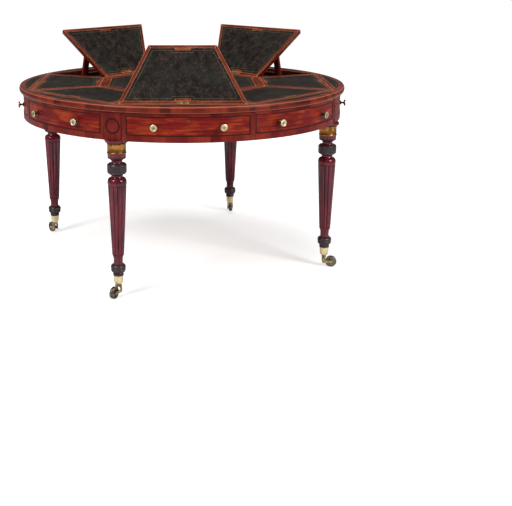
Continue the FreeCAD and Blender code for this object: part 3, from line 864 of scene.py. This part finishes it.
@dataclass
class Top:
    """The fixed top: rim, chord rails, radial rails, middle and leathers."""

    finishes: Finishes
    height: float = 0.760
    thickness: float = 0.0245
    rim: float = 0.700
    rim_inner: float = 0.672
    rim_round_share: float = 0.25
    rim_steps: int = 24
    corner_steps: int = 5
    segment_steps: int = 20
    chord: float = 0.617987
    leather_chord: float = 0.634987
    tooling_inset: float = 0.006
    tooling_line: float = 0.0011
    well: float = 0.350
    middle: float = 0.310
    middle_tooling_inset: float = 0.014
    middle_tooling_line: float = 0.0012
    rail: float = 0.023
    string: float = 0.0013
    recess: float = 0.0005
    lining: float = 0.0009
    turns: list[Matrix] = field(default_factory=lambda: [sector.turn for sector in SECTORS])

    @property
    def underside(self) -> float:
        """Height of the underside of the top."""
        return self.height - self.thickness

    def trapezoid(self, inner: float, outer: float, offset: float) -> list[Point]:
        """Corners of a sector's trapezoid.

        Args:
            inner: Distance of its inner edge from the middle.
            outer: Distance of its outer edge.
            offset: Setback of its sides from the sector's edges.

        Returns:
            The corners, anticlockwise.
        """
        tan, cos = math.tan(HALF_SECTOR), math.cos(HALF_SECTOR)
        low, high = inner * tan - offset / cos, outer * tan - offset / cos
        return [(inner, -low), (outer, -high), (outer, high), (inner, low)]

    def build(self) -> None:
        """Make every fixed piece of the top."""
        self.build_rim()
        self.build_chords()
        self.build_radials()
        self.build_middle()
        self.build_linings()

    def rail_piece(
        self, outline: Sequence[Point], name: str, node: str, grain: float, turn: float = 0
    ) -> None:
        """Make eight rails with a light edge line round each top face, stringing and a painted
        highlight.

        Args:
            outline: Corners of one rail.
            name: Name of the piece.
            node: CAD node that it stands for.
            grain: Direction of its grain from +X, in degrees.
            turn: Angle by which each rail is turned on from its sector, in radians.
        """
        form = Form()
        cap = form.prism(outline, self.underside, self.height, grain=grain)
        form.inset(cap, self.string, 1)
        form.note_lay()
        if turn:
            form.move(Matrix.Rotation(turn, 4, "Z"))
        form.spread(self.turns)
        form.piece(name, "table", node, "mahogany", self.finishes.rail, self.finishes.string)

    def build_rim(self) -> None:
        """Make the crossbanded rim with its rounded edge."""
        form = Form()
        half = self.thickness / 2
        middle = self.height - half
        soft = self.thickness * self.rim_round_share
        back = self.rim_inner - self.rim
        profile = [(back, self.underside), (back, self.height)]
        for number in range(9):
            angle = math.radians(90 - 22.5 * number)
            profile.append((-soft + soft * math.cos(angle), middle + half * math.sin(angle)))
        form.bar(profile, self.rim * HALF_SECTOR * 2, self.rim_steps)
        form.note_lay(lambda co: (co.x, self.rim + co.y, co.z))
        form.wrap(self.rim)
        form.spread(self.turns)
        form.piece("rim", "table", "top_rim", "mahogany", self.finishes.rim)

    def build_chords(self) -> None:
        """Make the chord rails and the leather segments outside them."""
        reach = math.acos(self.leather_chord / self.rim_inner)
        corner = self.chord * math.tan(HALF_SECTOR)
        steps = self.corner_steps
        outline = [(self.chord, -corner), *arc_points(self.rim_inner, -HALF_SECTOR, -reach, steps)]
        outline += [*arc_points(self.rim_inner, reach, HALF_SECTOR, steps), (self.chord, corner)]
        self.rail_piece(outline, "chord_rails", "segment_boards", 90)
        form = Form()
        outline = arc_points(self.rim_inner, -reach, reach, self.segment_steps)
        cap = form.prism(outline, self.underside, self.height - self.recess)
        for edge, finish in ((self.tooling_inset, 0), (self.tooling_inset + self.tooling_line, 1)):
            form.inset(cap, 0.0, finish)
            radius = self.rim_inner - edge
            inner_reach = math.acos((self.leather_chord + edge) / radius)
            for vert in cap.verts:
                angle = math.atan2(vert.co.y, vert.co.x) * inner_reach / reach
                vert.co.x, vert.co.y = polar(radius, angle)
            reach = inner_reach
        form.note_lay()
        form.spread(self.turns)
        finishes = (self.finishes.leather, self.finishes.tooling)
        form.piece("segment_leathers", "table", "fixed_leathers", "leather", *finishes)

    def build_radials(self) -> None:
        """Make the rails between neighbouring slopes."""
        half = self.rail / 2
        cos, point = math.cos(HALF_SECTOR), half * math.tan(HALF_SECTOR)
        inner, outer = self.well / cos, self.chord / cos
        outline = [(inner - point, -half), (outer - point, -half), (outer, 0)]
        outline += [(outer - point, half), (inner - point, half), (inner, 0)]
        self.rail_piece(outline, "radial_rails", "radial_rails", 0, HALF_SECTOR)

    def build_middle(self) -> None:
        """Make the octagon's mitred rails and its leather."""
        outline = self.trapezoid(self.middle, self.well, 0)
        self.rail_piece(outline, "octagon_rails", "centre_octagon", 90)
        form = Form()
        radius = self.middle / math.cos(HALF_SECTOR)
        outline = arc_points(radius, HALF_SECTOR, HALF_SECTOR + math.tau, 8)[:-1]
        cap = form.prism(outline, self.underside, self.height - self.recess)
        form.inset(cap, self.middle_tooling_inset, 0)
        form.inset(cap, self.middle_tooling_line, 1)
        form.note_lay()
        finishes = (self.finishes.leather, self.finishes.tooling)
        form.piece("middle_leather", "table", "fixed_leathers", "leather", *finishes)

    def build_linings(self) -> None:
        """Make the leather linings of the wells."""
        form = Form()
        outline = self.trapezoid(self.well, self.chord, self.rail / 2)
        form.prism(outline, self.underside - self.lining, self.underside)
        form.note_lay()
        form.spread(self.turns)
        form.piece("well_linings", "table", "fixed_leathers", "leather", self.finishes.lining)


@dataclass
class Slopes:
    """The eight reading slopes, their leathers and their props."""

    finishes: Finishes
    top: Top
    gap: float = 0.0009
    border: float = 0.0135
    border_edge_line_share: float = 0.7
    board: float = 0.0115
    floor_gap: float = 0.0006
    undercut: float = 0.007
    inset: float = 0.003
    lipping: float = 0.005
    side_lipping: float = 0.009
    leather: float = 0.0012
    recess: float = 0.0015
    tooling_inset: float = 0.010
    tooling_line: float = 0.0012
    tab_half: float = 0.030
    tab_reach: float = 0.010
    tab_edge_line_share: float = 0.8
    leaf_half: float = 0.0225
    leaf: float = 0.0075
    leaf_stands: float = 0.0003
    prop_end_gap: float = 0.0015
    prop_side_gap: float = 0.0008
    prop_thickness: float = 0.011
    prop_leg: float = 0.031
    prop_bar: float = 0.018
    prop_bar_distance: float = 0.010
    prop_softness: float = 0.0007
    tip_gap: float = 0.0006
    travel: float = 52.0

    @property
    def inner(self) -> float:
        """Inner edge of a slope."""
        return self.top.well + self.gap

    @property
    def outer(self) -> float:
        """Outer edge of a slope."""
        return self.top.chord - self.gap

    @property
    def side(self) -> float:
        """Setback of a slope's oblique sides from the sector's edges."""
        return self.top.rail / 2 + self.gap

    def outline(self, margin: float, side_margin: float) -> list[Point]:
        """Corners of a slope, set in by one margin at its ends and another at its sides."""
        return self.top.trapezoid(self.inner + margin, self.outer - margin, self.side + side_margin)

    def hinge(self, sector: Sector) -> float:
        """Distance of a slope's hinge line from the middle of the table."""
        return self.inner if sector.hinged is Hinged.INNER else self.outer

    def raised(self, sector: Sector, x: float, z: float, angle: float) -> Matrix:
        """Placement of something swung up by an angle in degrees about a line along Y."""
        swing = Matrix.Rotation(math.radians(angle) * sector.hinged.value, 4, "Y")
        return sector.turn @ Matrix.Translation((x, 0, z)) @ swing @ Matrix.Translation((-x, 0, -z))

    def build(self) -> None:
        """Make every slope."""
        for sector in SECTORS:
            place = self.raised(sector, self.hinge(sector), self.top.height, sector.tilt)
            self.build_board(sector, place)
            self.build_leather(sector, place)
            self.build_prop(sector)

    def leather_outline(self) -> list[Point]:
        """Outline of a slope's leather, notched round the two tabs.

        Returns:
            Its corners, anticlockwise.
        """
        corners = self.outline(self.border, self.border)
        inner, outer = corners[0][0], corners[1][0]
        half, reach = self.tab_half, self.tab_reach
        outline = [corners[0], corners[1]]
        outline += [(outer, -half), (outer - reach, -half), (outer - reach, half), (outer, half)]
        outline += [corners[2], corners[3]]
        outline += [(inner, half), (inner + reach, half), (inner + reach, -half), (inner, -half)]
        return outline

    def add_strips(
        self,
        form: Form,
        outside: list[Point],
        inside: list[Point],
        heights: tuple[float, float],
        finish: int,
        string: float = 0,
    ) -> None:
        """Add four mitred strips, with a light edge line round each where it has a width.

        Args:
            form: Shape that they are added to.
            outside: Their outer corners.
            inside: Their inner corners.
            heights: Height of their underside and of their top.
            finish: Number of their material.
            string: Width of the light edge line.
        """
        for number, grain in enumerate((-22.5, 90, 22.5, 90)):
            after = (number + 1) % 4
            corners = [outside[number], outside[after], inside[after], inside[number]]
            cap = form.prism(corners, *heights, finish, grain)
            if string:
                form.inset(cap, string, 1)

    def build_board(self, sector: Sector, place: Matrix) -> None:
        """Make a slope's board with its borders, tabs, hinge leaf and lippings.

        Args:
            sector: Its sector.
            place: Where it goes.
        """
        form = Form()
        height = self.top.height
        bottom, shelf = height - self.board, height - self.recess
        form.prism(self.outline(0, 0), bottom, shelf)
        inside = self.outline(self.border, self.border)
        string = self.top.string * self.border_edge_line_share
        self.add_strips(form, self.outline(0, 0), inside, (shelf, height), 0, string)
        inner, outer = inside[0][0], inside[1][0]
        for start, end in ((inner, inner + self.tab_reach), (outer - self.tab_reach, outer)):
            cap = form.prism(rectangle(start, end, self.tab_half), shelf, height, grain=90)
            form.inset(cap, self.top.string * self.tab_edge_line_share, 1)
        near = self.hinge(sector) - sector.hinged.value * self.lipping / 3
        start, end = sorted((near, near - sector.hinged.value * self.leaf))
        outline = rectangle(start, end, self.leaf_half)
        leaf = form.prism(outline, height, height + self.leaf_stands, 3)
        form.inset(leaf, self.leaf_stands, 3)
        low = self.top.underside + self.floor_gap
        outside = self.outline(self.inset, self.inset)
        inside = self.outline(self.inset + self.lipping, self.inset + self.side_lipping)
        self.add_strips(form, outside, inside, (low, bottom), 2)
        self.cut_sides(form, low)
        form.note_lay()
        form.shift_lay(sector.azimuth / 45)
        form.move(place)
        made = self.finishes
        name = "slope_" + sector.name
        finishes = (made.rail, made.string, made.under, made.hinge)
        form.piece(name, name, "slope_board_" + sector.name, "mahogany", *finishes)

    def cut_sides(self, form: Form, low: float) -> None:
        """Slant the oblique sides inwards, so that the slope clears the rails as it tilts.

        Args:
            form: The slope, lying flat.
            low: Height of its underside.
        """
        tan, cos = math.tan(HALF_SECTOR), math.cos(HALF_SECTOR)
        for vert in form.bm.verts:
            depth = (self.top.height - vert.co.z) / (self.top.height - low)
            limit = vert.co.x * tan - (self.side + self.undercut * depth) / cos
            vert.co.y = max(-limit, min(limit, vert.co.y))

    def build_leather(self, sector: Sector, place: Matrix) -> None:
        """Make a slope's leather with its tooled line.

        Args:
            sector: Its sector.
            place: Where it goes.
        """
        form = Form()
        low = self.top.height - self.recess
        cap = form.prism(self.leather_outline(), low, low + self.leather)
        form.inset(cap, self.tooling_inset, 0)
        form.inset(cap, self.tooling_line, 1)
        form.note_lay(lambda co: (co.x, co.y, co.z + sector.azimuth / 45))
        form.move(place)
        finishes = (self.finishes.leather, self.finishes.tooling)
        body, node = "slope_" + sector.name, "slope_leather_" + sector.name
        form.piece("leather_" + sector.name, body, node, "leather", *finishes)

    def prop_profile(self, start: float, end: float, length: float) -> list[Point]:
        """Section of a prop's leg or bar, rounded where it is at the foot or at the tip.

        Args:
            start: Its distance from the foot.
            end: The distance of its other side.
            length: Distance of the tip from the foot.

        Returns:
            Points as (distance from the foot, height from the middle).
        """
        half = self.prop_thickness / 2
        points: list[Point] = []
        for x, first, whole in ((start, 90, start == 0), (end, 270, end == length)):
            if whole:
                turns = [math.radians(first + 22.5 * number) for number in range(9)]
                points += [(x + half * math.cos(turn), half * math.sin(turn)) for turn in turns]
            else:
                up = half * math.sin(math.radians(first))
                points += [(x, up), (x, -up)]
        return points

    def build_prop(self, sector: Sector) -> None:
        """Make the open frame that holds a slope up.

        Args:
            sector: Its sector.
        """
        half = self.prop_thickness / 2
        drop = self.board + half + self.tip_gap
        lean = drop * math.tan(math.radians(self.travel / 2))
        room = self.outer - self.inner - self.inset - self.lipping - self.prop_end_gap
        length = (room - half - lean) / 2
        away = -sector.hinged.value
        foot = self.hinge(sector) + away * (length + lean)
        narrow = foot - half if sector.hinged is Hinged.INNER else foot - length - half
        side = self.side + self.inset + self.side_lipping
        reach = narrow * math.tan(HALF_SECTOR) - side / math.cos(HALF_SECTOR) - self.prop_side_gap
        form = Form()
        leg = self.prop_profile(0, length, length)
        inside = reach - self.prop_leg
        for way in (-1, 1):
            form.bar(leg, self.prop_leg, middle=way * (reach - self.prop_leg / 2))
        for start in (self.prop_bar_distance, length - self.prop_bar):
            end = length if start > self.prop_bar_distance else start + self.prop_bar
            form.bar(self.prop_profile(start, end, length), inside * 2)
        form.soften(self.prop_softness)
        form.note_lay(lambda co: (co.y, co.x, co.z))
        height = self.top.height - drop
        form.move(Matrix(((0, away, 0, foot), (1, 0, 0, 0), (0, 0, 1, height), (0, 0, 0, 1))))
        bmesh.ops.recalc_face_normals(form.bm, faces=form.bm.faces[:])
        form.move(self.raised(sector, foot, height, sector.tilt * 2))
        name = "prop_" + sector.name
        form.piece(name, name, "slope_prop_" + sector.name, "mahogany", self.finishes.under)


@dataclass
class Frieze:
    """The frieze: rails, leg blocks, stiles, drawer fronts and knobs."""

    finishes: Finishes
    top: Top
    radius: float = 0.685
    thickness: float = 0.022
    depth: float = 0.1105
    top_rail: float = 0.013
    bottom_rail: float = 0.023
    gap: float = 0.001
    bend_step: float = 1.5
    post_half: float = math.radians(4.4)
    block_half: float = math.radians(3.0)
    block_stands: float = 0.002
    block_depth: float = 0.075
    block_edge: float = 0.0014
    stile_half: float = math.radians(0.9)
    offset: float = math.radians(1.75)
    bead: float = 0.003
    bead_side: float = 0.0005
    bead_stands: float = 0.0015
    knob_half: float = math.radians(10.6)
    knob_drop: float = 0.00175
    knob_steps: int = 32
    knob_bright: float = 0.0185
    knob_middle: float = 0.0026
    knob_groove: tuple[float, float] = (0.0045, 0.0058)

    @property
    def bottom(self) -> float:
        """Height of the frieze's underside."""
        return self.top.underside - self.depth

    @property
    def front_low(self) -> float:
        """Height of a drawer front's lower edge."""
        return self.bottom + self.bottom_rail + self.gap

    @property
    def front_high(self) -> float:
        """Height of a drawer front's upper edge."""
        return self.top.underside - self.top_rail - self.gap

    @property
    def opening_half(self) -> float:
        """Half the angle of a drawer opening."""
        return HALF_SECTOR - (self.post_half + self.stile_half) / 2

    def front_turn(self, sector: Sector) -> Matrix:
        """Rotation from +X to the middle of a front."""
        offset = self.offset if sector.drawer else -self.offset
        return Matrix.Rotation(math.radians(sector.azimuth) + offset, 4, "Z")

    def build(self) -> None:
        """Make every piece of the frieze."""
        self.build_rails()
        self.build_blocks()
        for sector in SECTORS:
            self.build_front(sector)
            self.build_knobs(sector)

    def curved(self, half: float, low: float, high: float, inner: float, outer: float) -> Form:
        """Start a flat board that will be bent to the frieze.

        Args:
            half: Half its angle.
            low: Height of its lower edge.
            high: Height of its upper edge.
            inner: Radius of its back.
            outer: Radius of its face.

        Returns:
            The shape, with its face towards +Y.
        """
        form = Form()
        reach = half * self.radius
        outline = [(-reach, -high), (reach, -high), (reach, -low), (-reach, -low)]
        form.prism(outline, inner - self.radius, outer - self.radius)
        form.move(Matrix.Rotation(math.radians(-90), 4, "X"))
        return form

    def face_of(self, form: Form) -> BMFace:
        """Outer face of a flat board."""
        return max(form.bm.faces, key=lambda face: face.calc_center_median().y)

    def bend(self, form: Form, half: float, upright: bool = False) -> None:
        """Note the lay of a flat board and bend it round the table.

        Args:
            form: The board.
            half: Half its angle.
            upright: True where its grain runs up it.
        """
        reach = half * self.radius
        form.slice_x(reach, max(2, round(math.degrees(half) * 2 / self.bend_step)))
        form.note_lay(lambda co: (co.z, co.x, co.y) if upright else (co.x, co.z, co.y))
        form.wrap(self.radius)

    def build_rails(self) -> None:
        """Make the top and bottom rails, the narrow stiles and the strips beside the leg blocks."""
        rail_half = (math.tau / 8 - self.post_half - self.stile_half) / 2
        strip_half = (self.post_half - self.block_half) / 2
        rail_middle = HALF_SECTOR + (self.post_half - self.stile_half) / 2
        strip_middle = (self.post_half + self.block_half) / 2
        rails, strips = [], []
        for corner in CORNERS.values():
            for side in (1, -1):
                for middle, places in ((rail_middle, rails), (strip_middle, strips)):
                    places.append(Matrix.Rotation(math.radians(corner) + side * middle, 4, "Z"))
        stiles = [turned_by(azimuth) for azimuth in STILES]
        top, bottom = self.top.underside, self.bottom
        band, strip = self.finishes.band, self.finishes.strip
        for name, half, low, high, places, finish in (
            ("top_rail", rail_half, top - self.top_rail, top, rails, band),
            ("bottom_rail", rail_half, bottom, bottom + self.bottom_rail, rails, band),
            ("stiles", self.stile_half, bottom, top, stiles, strip),
            ("strips", strip_half, bottom, top, strips, strip),
        ):
            form = self.curved(half, low, high, self.radius - self.thickness, self.radius)
            self.bend(form, half, finish is strip)
            form.spread(places)
            form.piece("frieze_" + name, "table", "frieze_rails_and_stiles", "mahogany", finish)

    def build_blocks(self) -> None:
        """Make the blocks over the legs."""
        outer = self.radius + self.block_stands
        inner = outer - self.block_depth
        form = self.curved(self.block_half, self.bottom, self.top.underside, inner, outer)
        form.inset(self.face_of(form), self.block_edge, 1)
        self.bend(form, self.block_half)
        form.spread([turned_by(azimuth) for azimuth in CORNERS.values()])
        finishes = (self.finishes.roundel, self.finishes.dark_string)
        form.piece("leg_blocks", "table", "leg_blocks", "mahogany", *finishes)

    def build_front(self, sector: Sector) -> None:
        """Make a drawer front or a dummy one, with a dark bead round it.

        Args:
            sector: Its sector.
        """
        half = self.opening_half - self.gap / self.radius
        inner = self.radius - self.thickness
        form = self.curved(half, self.front_low, self.front_high, inner, self.radius)
        face = self.face_of(form)
        form.inset(face, self.bead, 1)
        form.inset(face, self.bead_side, 1, -self.bead_stands)
        self.bend(form, half)
        form.shift_lay(sector.azimuth / 45)
        form.move(self.front_turn(sector))
        kind = "drawer" if sector.drawer else "dummy"
        node = "drawer_front_" + sector.name if sector.drawer else "dummy_fronts"
        finishes = (self.finishes.frieze, self.finishes.dark_string)
        form.piece(f"{kind}_front_{sector.name}", sector.body, node, "mahogany", *finishes)

    def build_knobs(self, sector: Sector) -> None:
        """Make the two knobs of a front.

        Args:
            sector: Its sector.
        """
        form = Form()
        form.lathe(KNOB, self.knob_steps)
        low, high = self.knob_groove
        for face in form.bm.faces:
            middle = face.calc_center_median()
            away = math.hypot(middle.x, middle.y)
            # below knob_bright: painted shade on the head's side and underside, neck and stem;
            # middle and ring are dark metal
            dark = middle.z < self.knob_bright or away < self.knob_middle or low < away < high
            face.material_index = int(dark)
        form.note_lay()
        height = (self.front_low + self.front_high) / 2 - self.knob_drop
        out = Matrix.Translation((self.radius, 0, height)) @ Matrix.Rotation(math.pi / 2, 4, "Y")
        turns = [Matrix.Rotation(side * self.knob_half, 4, "Z") for side in (-1, 1)]
        form.spread([self.front_turn(sector) @ turn @ out for turn in turns])
        node = "drawer_knobs_" + sector.name if sector.drawer else "dummy_knobs"
        finishes = (self.finishes.knob, self.finishes.bronze_and_shade)
        form.piece("knobs_" + sector.name, sector.body, node, "brass", *finishes)


@dataclass
class Legs:
    """Turned legs, their collars and the castors' sockets."""

    finishes: Finishes
    circle: float = 0.653
    leg_steps: int = 64
    socket_steps: int = 48
    reeds: int = 12
    steps_per_reed: int = 10
    reed_low: float = 0.169
    reed_high: float = 0.4522
    reed_low_radius: float = 0.0230
    reed_high_radius: float = 0.0365
    reed_centre: float = 0.77
    reed_share: float = 0.23
    reed_core: float = 0.83
    reed_ends: tuple[float, float] = (0.026, 0.028)
    grooves: int = 5
    groove_low: float = 0.4979
    groove_step: float = 0.0059

    def build(self) -> None:
        """Make the legs and their brass."""
        out = Matrix.Translation((self.circle, 0, 0))
        places = [turned_by(azimuth) @ out for azimuth in CORNERS.values()]
        form = Form()
        for profile, finish in self.stretches():
            form.lathe(profile, self.leg_steps, finish)
        self.add_shaft(form)
        form.note_lay(lambda co: (co.z, co.x, co.y))
        form.spread(places)
        finishes = (self.finishes.turned, self.finishes.ebonised)
        form.piece("turned_legs", "table", "turned_legs", "turned_mahogany", *finishes)
        for name, profile, steps, finish in (
            ("leg_collars", COLLAR, self.leg_steps, self.finishes.brass),
            ("castor_sockets", SOCKET, self.socket_steps, self.finishes.pale_brass),
        ):
            form = Form()
            form.lathe(profile, steps)
            form.note_lay()
            form.spread(places)
            form.piece(name, "table", name, "brass", finish)

    def stretches(self) -> list[tuple[list[Point], int]]:
        """Gather the leg's turned stretches.

        Returns:
            Their outlines from the foot up, each with the number of its finish.
        """
        bobbin = list(BOBBIN_LOW)
        for number in range(self.grooves):
            low = self.groove_low + self.groove_step * number
            bobbin += [(radius, low + rise) for radius, rise in GROOVE]
        bobbin += BOBBIN_HIGH
        lower = [(FOOT, 1), (BULB, 1), (NECK, 0), (SHOULDER, 0)]
        return [*lower, (bobbin, 1), (UPPER, 0), (BEAD, 1), (RING, 0)]

    def add_shaft(self, form: Form) -> None:
        """Add the tapered shaft with its round reeds.

        Args:
            form: Shape that it is added to.
        """
        steps = self.reeds * self.steps_per_reed
        ring = bmesh.ops.create_circle(form.bm, cap_ends=True, segments=steps, radius=1.0)["verts"]
        faces = list(ring[0].link_faces)
        levels = [0.0, 0.006, 0.014, 0.026] + [0.05 + 0.9 * number / 8 for number in range(9)]
        levels += [0.972, 0.984, 0.992, 0.998]
        rows = [ring]
        for _ in levels[1:]:
            row, faces = form.extrude(faces, len(rows) == 1)
            rows.append(row)
        for level, row in zip(levels, rows):
            radius = self.reed_low_radius + (self.reed_high_radius - self.reed_low_radius) * level
            height = self.reed_low + (self.reed_high - self.reed_low) * level
            ease = min(1.0, level / self.reed_ends[0], (1.0 - level) / self.reed_ends[1])
            swell = math.sqrt(max(0.0, 1 - (1 - ease) ** 2))
            for vert in row:
                angle = math.atan2(vert.co.y, vert.co.x)
                phase = (angle * self.reeds / math.tau) % 1.0 * 2 - 1
                turn = phase * math.pi / self.reeds
                crest = self.reed_centre * math.cos(turn)
                crest += math.sqrt(self.reed_share**2 - (self.reed_centre * math.sin(turn)) ** 2)
                far = radius * (self.reed_core + (crest - self.reed_core) * swell)
                vert.co = (*polar(far, angle), height)
        near = {face for row in rows for vert in row for face in vert.link_faces}
        bmesh.ops.recalc_face_normals(form.bm, faces=list(near))


def carry(finishes: Finishes) -> None:
    """Dress the CAD nodes whose shape is already right.

    Args:
        finishes: The table's finishes.
    """
    nodes = {"slope_hinges_and_pivots": finishes.brass, "leg_screws": finishes.iron}
    for name in ("well_floor", "drawer_frame"):
        nodes[name] = finishes.carcase
    for sector in SECTORS:
        if sector.drawer:
            nodes["drawer_box_" + sector.name] = finishes.carcase
    for corner in CORNERS:
        nodes["castor_fork_" + corner] = finishes.fork
        nodes["castor_wheel_" + corner] = finishes.dull_brass
    for name, finish in nodes.items():
        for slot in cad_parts[name].material_slots:
            slot.material = finish


@dataclass
class Studio:
    """Floor, light and camera.

    Attributes:
        width: Width of the photograph, in pixels.
        height: Height of the photograph, in pixels.
        focal: Focal length, in pixels.
        centre: Pixel that the lens points at.
        distance: Distance of the camera from the table's middle.
        eye: Height of the camera.
        pitch: Downward tilt of the camera, in radians.
        swing: Angle by which the camera stands to the left of the table's front, in radians.
        ambient: Strength of the room's light.
        glow: Brightness added to the far floor where it is seen.
        near_glow_painted_shade: Share of it added near the table, where less glow paints the floor
            darker as shade.
        painted_shade_reach: Distances from the table between which the glow grows and the painted
            shade fades.
        floor_size: Half the floor's side.
        aim: Height that the lamps point at.
    """

    width: int = 512
    height: int = 506
    focal: float = 946.2
    centre: Point = (181.9, 150.0)
    distance: float = 4.0993
    eye: float = 1.3200
    pitch: float = 0.2080
    swing: float = math.radians(0.342)
    ambient: float = 0.2
    glow: float = 0.84
    near_glow_painted_shade: float = 0.6
    painted_shade_reach: tuple[float, float] = (1.2, 4.5)
    floor_size: float = 40.0
    aim: float = 0.5

    def build(self) -> None:
        """Make the stage."""
        self.build_camera()
        self.build_floor()
        self.build_world()
        self.build_lamps()

    def build_camera(self) -> None:
        """Place the camera where the photograph was taken."""
        data = bpy.data.cameras.new("view")
        data.sensor_width = 36.0
        data.lens = self.focal * data.sensor_width / self.width
        data.shift_x = (self.width / 2 - self.centre[0]) / self.width
        data.shift_y = (self.centre[1] - self.height / 2) / self.width
        camera = bpy.data.objects.new("view", data)
        aside = self.distance * math.sin(self.swing)
        camera.location = (-aside, -self.distance * math.cos(self.swing), self.eye)
        camera.rotation_euler = (math.pi / 2 - self.pitch, 0, -self.swing)
        bpy.context.scene.collection.objects.link(camera)
        bpy.context.scene.camera = camera

    def seen(self, graph: Graph) -> Wire:
        """Mask of the rays that come straight from the camera."""
        return graph.node("ShaderNodeLightPath", {}, {})

    def build_floor(self) -> None:
        """Make a white floor that keeps the shadows, with painted shade round the table."""
        shape = bmesh.new()
        bmesh.ops.create_grid(shape, x_segments=1, y_segments=1, size=self.floor_size)
        mesh = bpy.data.meshes.new("floor")
        shape.to_mesh(mesh)
        shape.free()
        floor = bpy.data.objects.new("floor", mesh)
        bpy.context.scene.collection.objects.link(floor)
        graph = Graph("white_floor")
        graph.finish((0.86, 0.86, 0.86, 1.0), 0.9, Specular_IOR_Level=0.0)
        x, y, _ = graph.place()
        # painted shade: the glow is weaker near the table, so the floor is painted darker round it
        far = graph.spread(graph.maths("SQRT", x * x + y * y), *self.painted_shade_reach)
        painted_shade_grey = (self.near_glow_painted_shade, self.near_glow_painted_shade, self.near_glow_painted_shade, 1.0)
        tone = graph.mix(far, painted_shade_grey, (1.0, 1.0, 1.0, 1.0))
        glow = graph.node("ShaderNodeEmission", {}, {"Color": tone, "Strength": self.glow})
        plain = Wire(graph, graph.shader.outputs[0])
        both = graph.node("ShaderNodeAddShader", {}, {0: plain, 1: glow})
        values = {0: self.seen(graph), 1: plain, 2: both}
        mixed = graph.node("ShaderNodeMixShader", {}, values)
        output = next(node for node in graph.tree.nodes if node.type == "OUTPUT_MATERIAL")
        graph.feed(output.inputs["Surface"], mixed)
        mesh.materials.append(graph.material)

    def build_world(self) -> None:
        """Light the room evenly and show it white."""
        world = bpy.data.worlds.new("studio")
        bpy.context.scene.world = world
        graph = Graph("studio", world)
        graph.tree.nodes.clear()
        white = (1.0, 1.0, 1.0, 1.0)
        light = graph.node("ShaderNodeBackground", {}, {"Color": white, "Strength": self.ambient})
        shown = graph.node("ShaderNodeBackground", {}, {"Color": white, "Strength": 1.0})
        mixed = graph.node("ShaderNodeMixShader", {}, {0: self.seen(graph), 1: light, 2: shown})
        graph.tree.nodes.new("ShaderNodeOutputWorld")
        graph.feed(graph.tree.nodes[-1].inputs["Surface"], mixed)

    def build_lamps(self) -> None:
        """Hang the soft lamps."""
        self.lamp("key", (-2.6, -2.6, 3.2), 1.4, 116.0)
        self.lamp("fill", (3.0, -2.6, 2.4), 1.4, 104.0)
        self.lamp("top", (0.0, 0.6, 4.2), 2.6, 104.0)

    def lamp(self, name: str, place: tuple[float, float, float], size: float, power: float) -> None:
        """Hang one square lamp that points at the table.

        Args:
            name: Its name.
            place: Where it hangs.
            size: Length of its side.
            power: Its power, in watts.
        """
        data = bpy.data.lights.new(name, "AREA")
        data.size = size
        data.energy = power
        lamp = bpy.data.objects.new(name, data)
        lamp.location = place
        aim = Vector((0, 0, self.aim)) - Vector(place)
        lamp.rotation_euler = aim.to_track_quat("-Z", "Y").to_euler()
        bpy.context.scene.collection.objects.link(lamp)


def main() -> None:
    """Build the table and its stage."""
    logging.basicConfig(level=logging.INFO, format="%(message)s")
    bpy.context.scene.view_settings.view_transform = "Standard"
    Studio().build()
    finishes = Finishes()
    top = Top(finishes)
    top.build()
    Slopes(finishes, top).build()
    Frieze(finishes, top).build()
    Legs(finishes).build()
    carry(finishes)


if __name__ == "__main__":
    main()
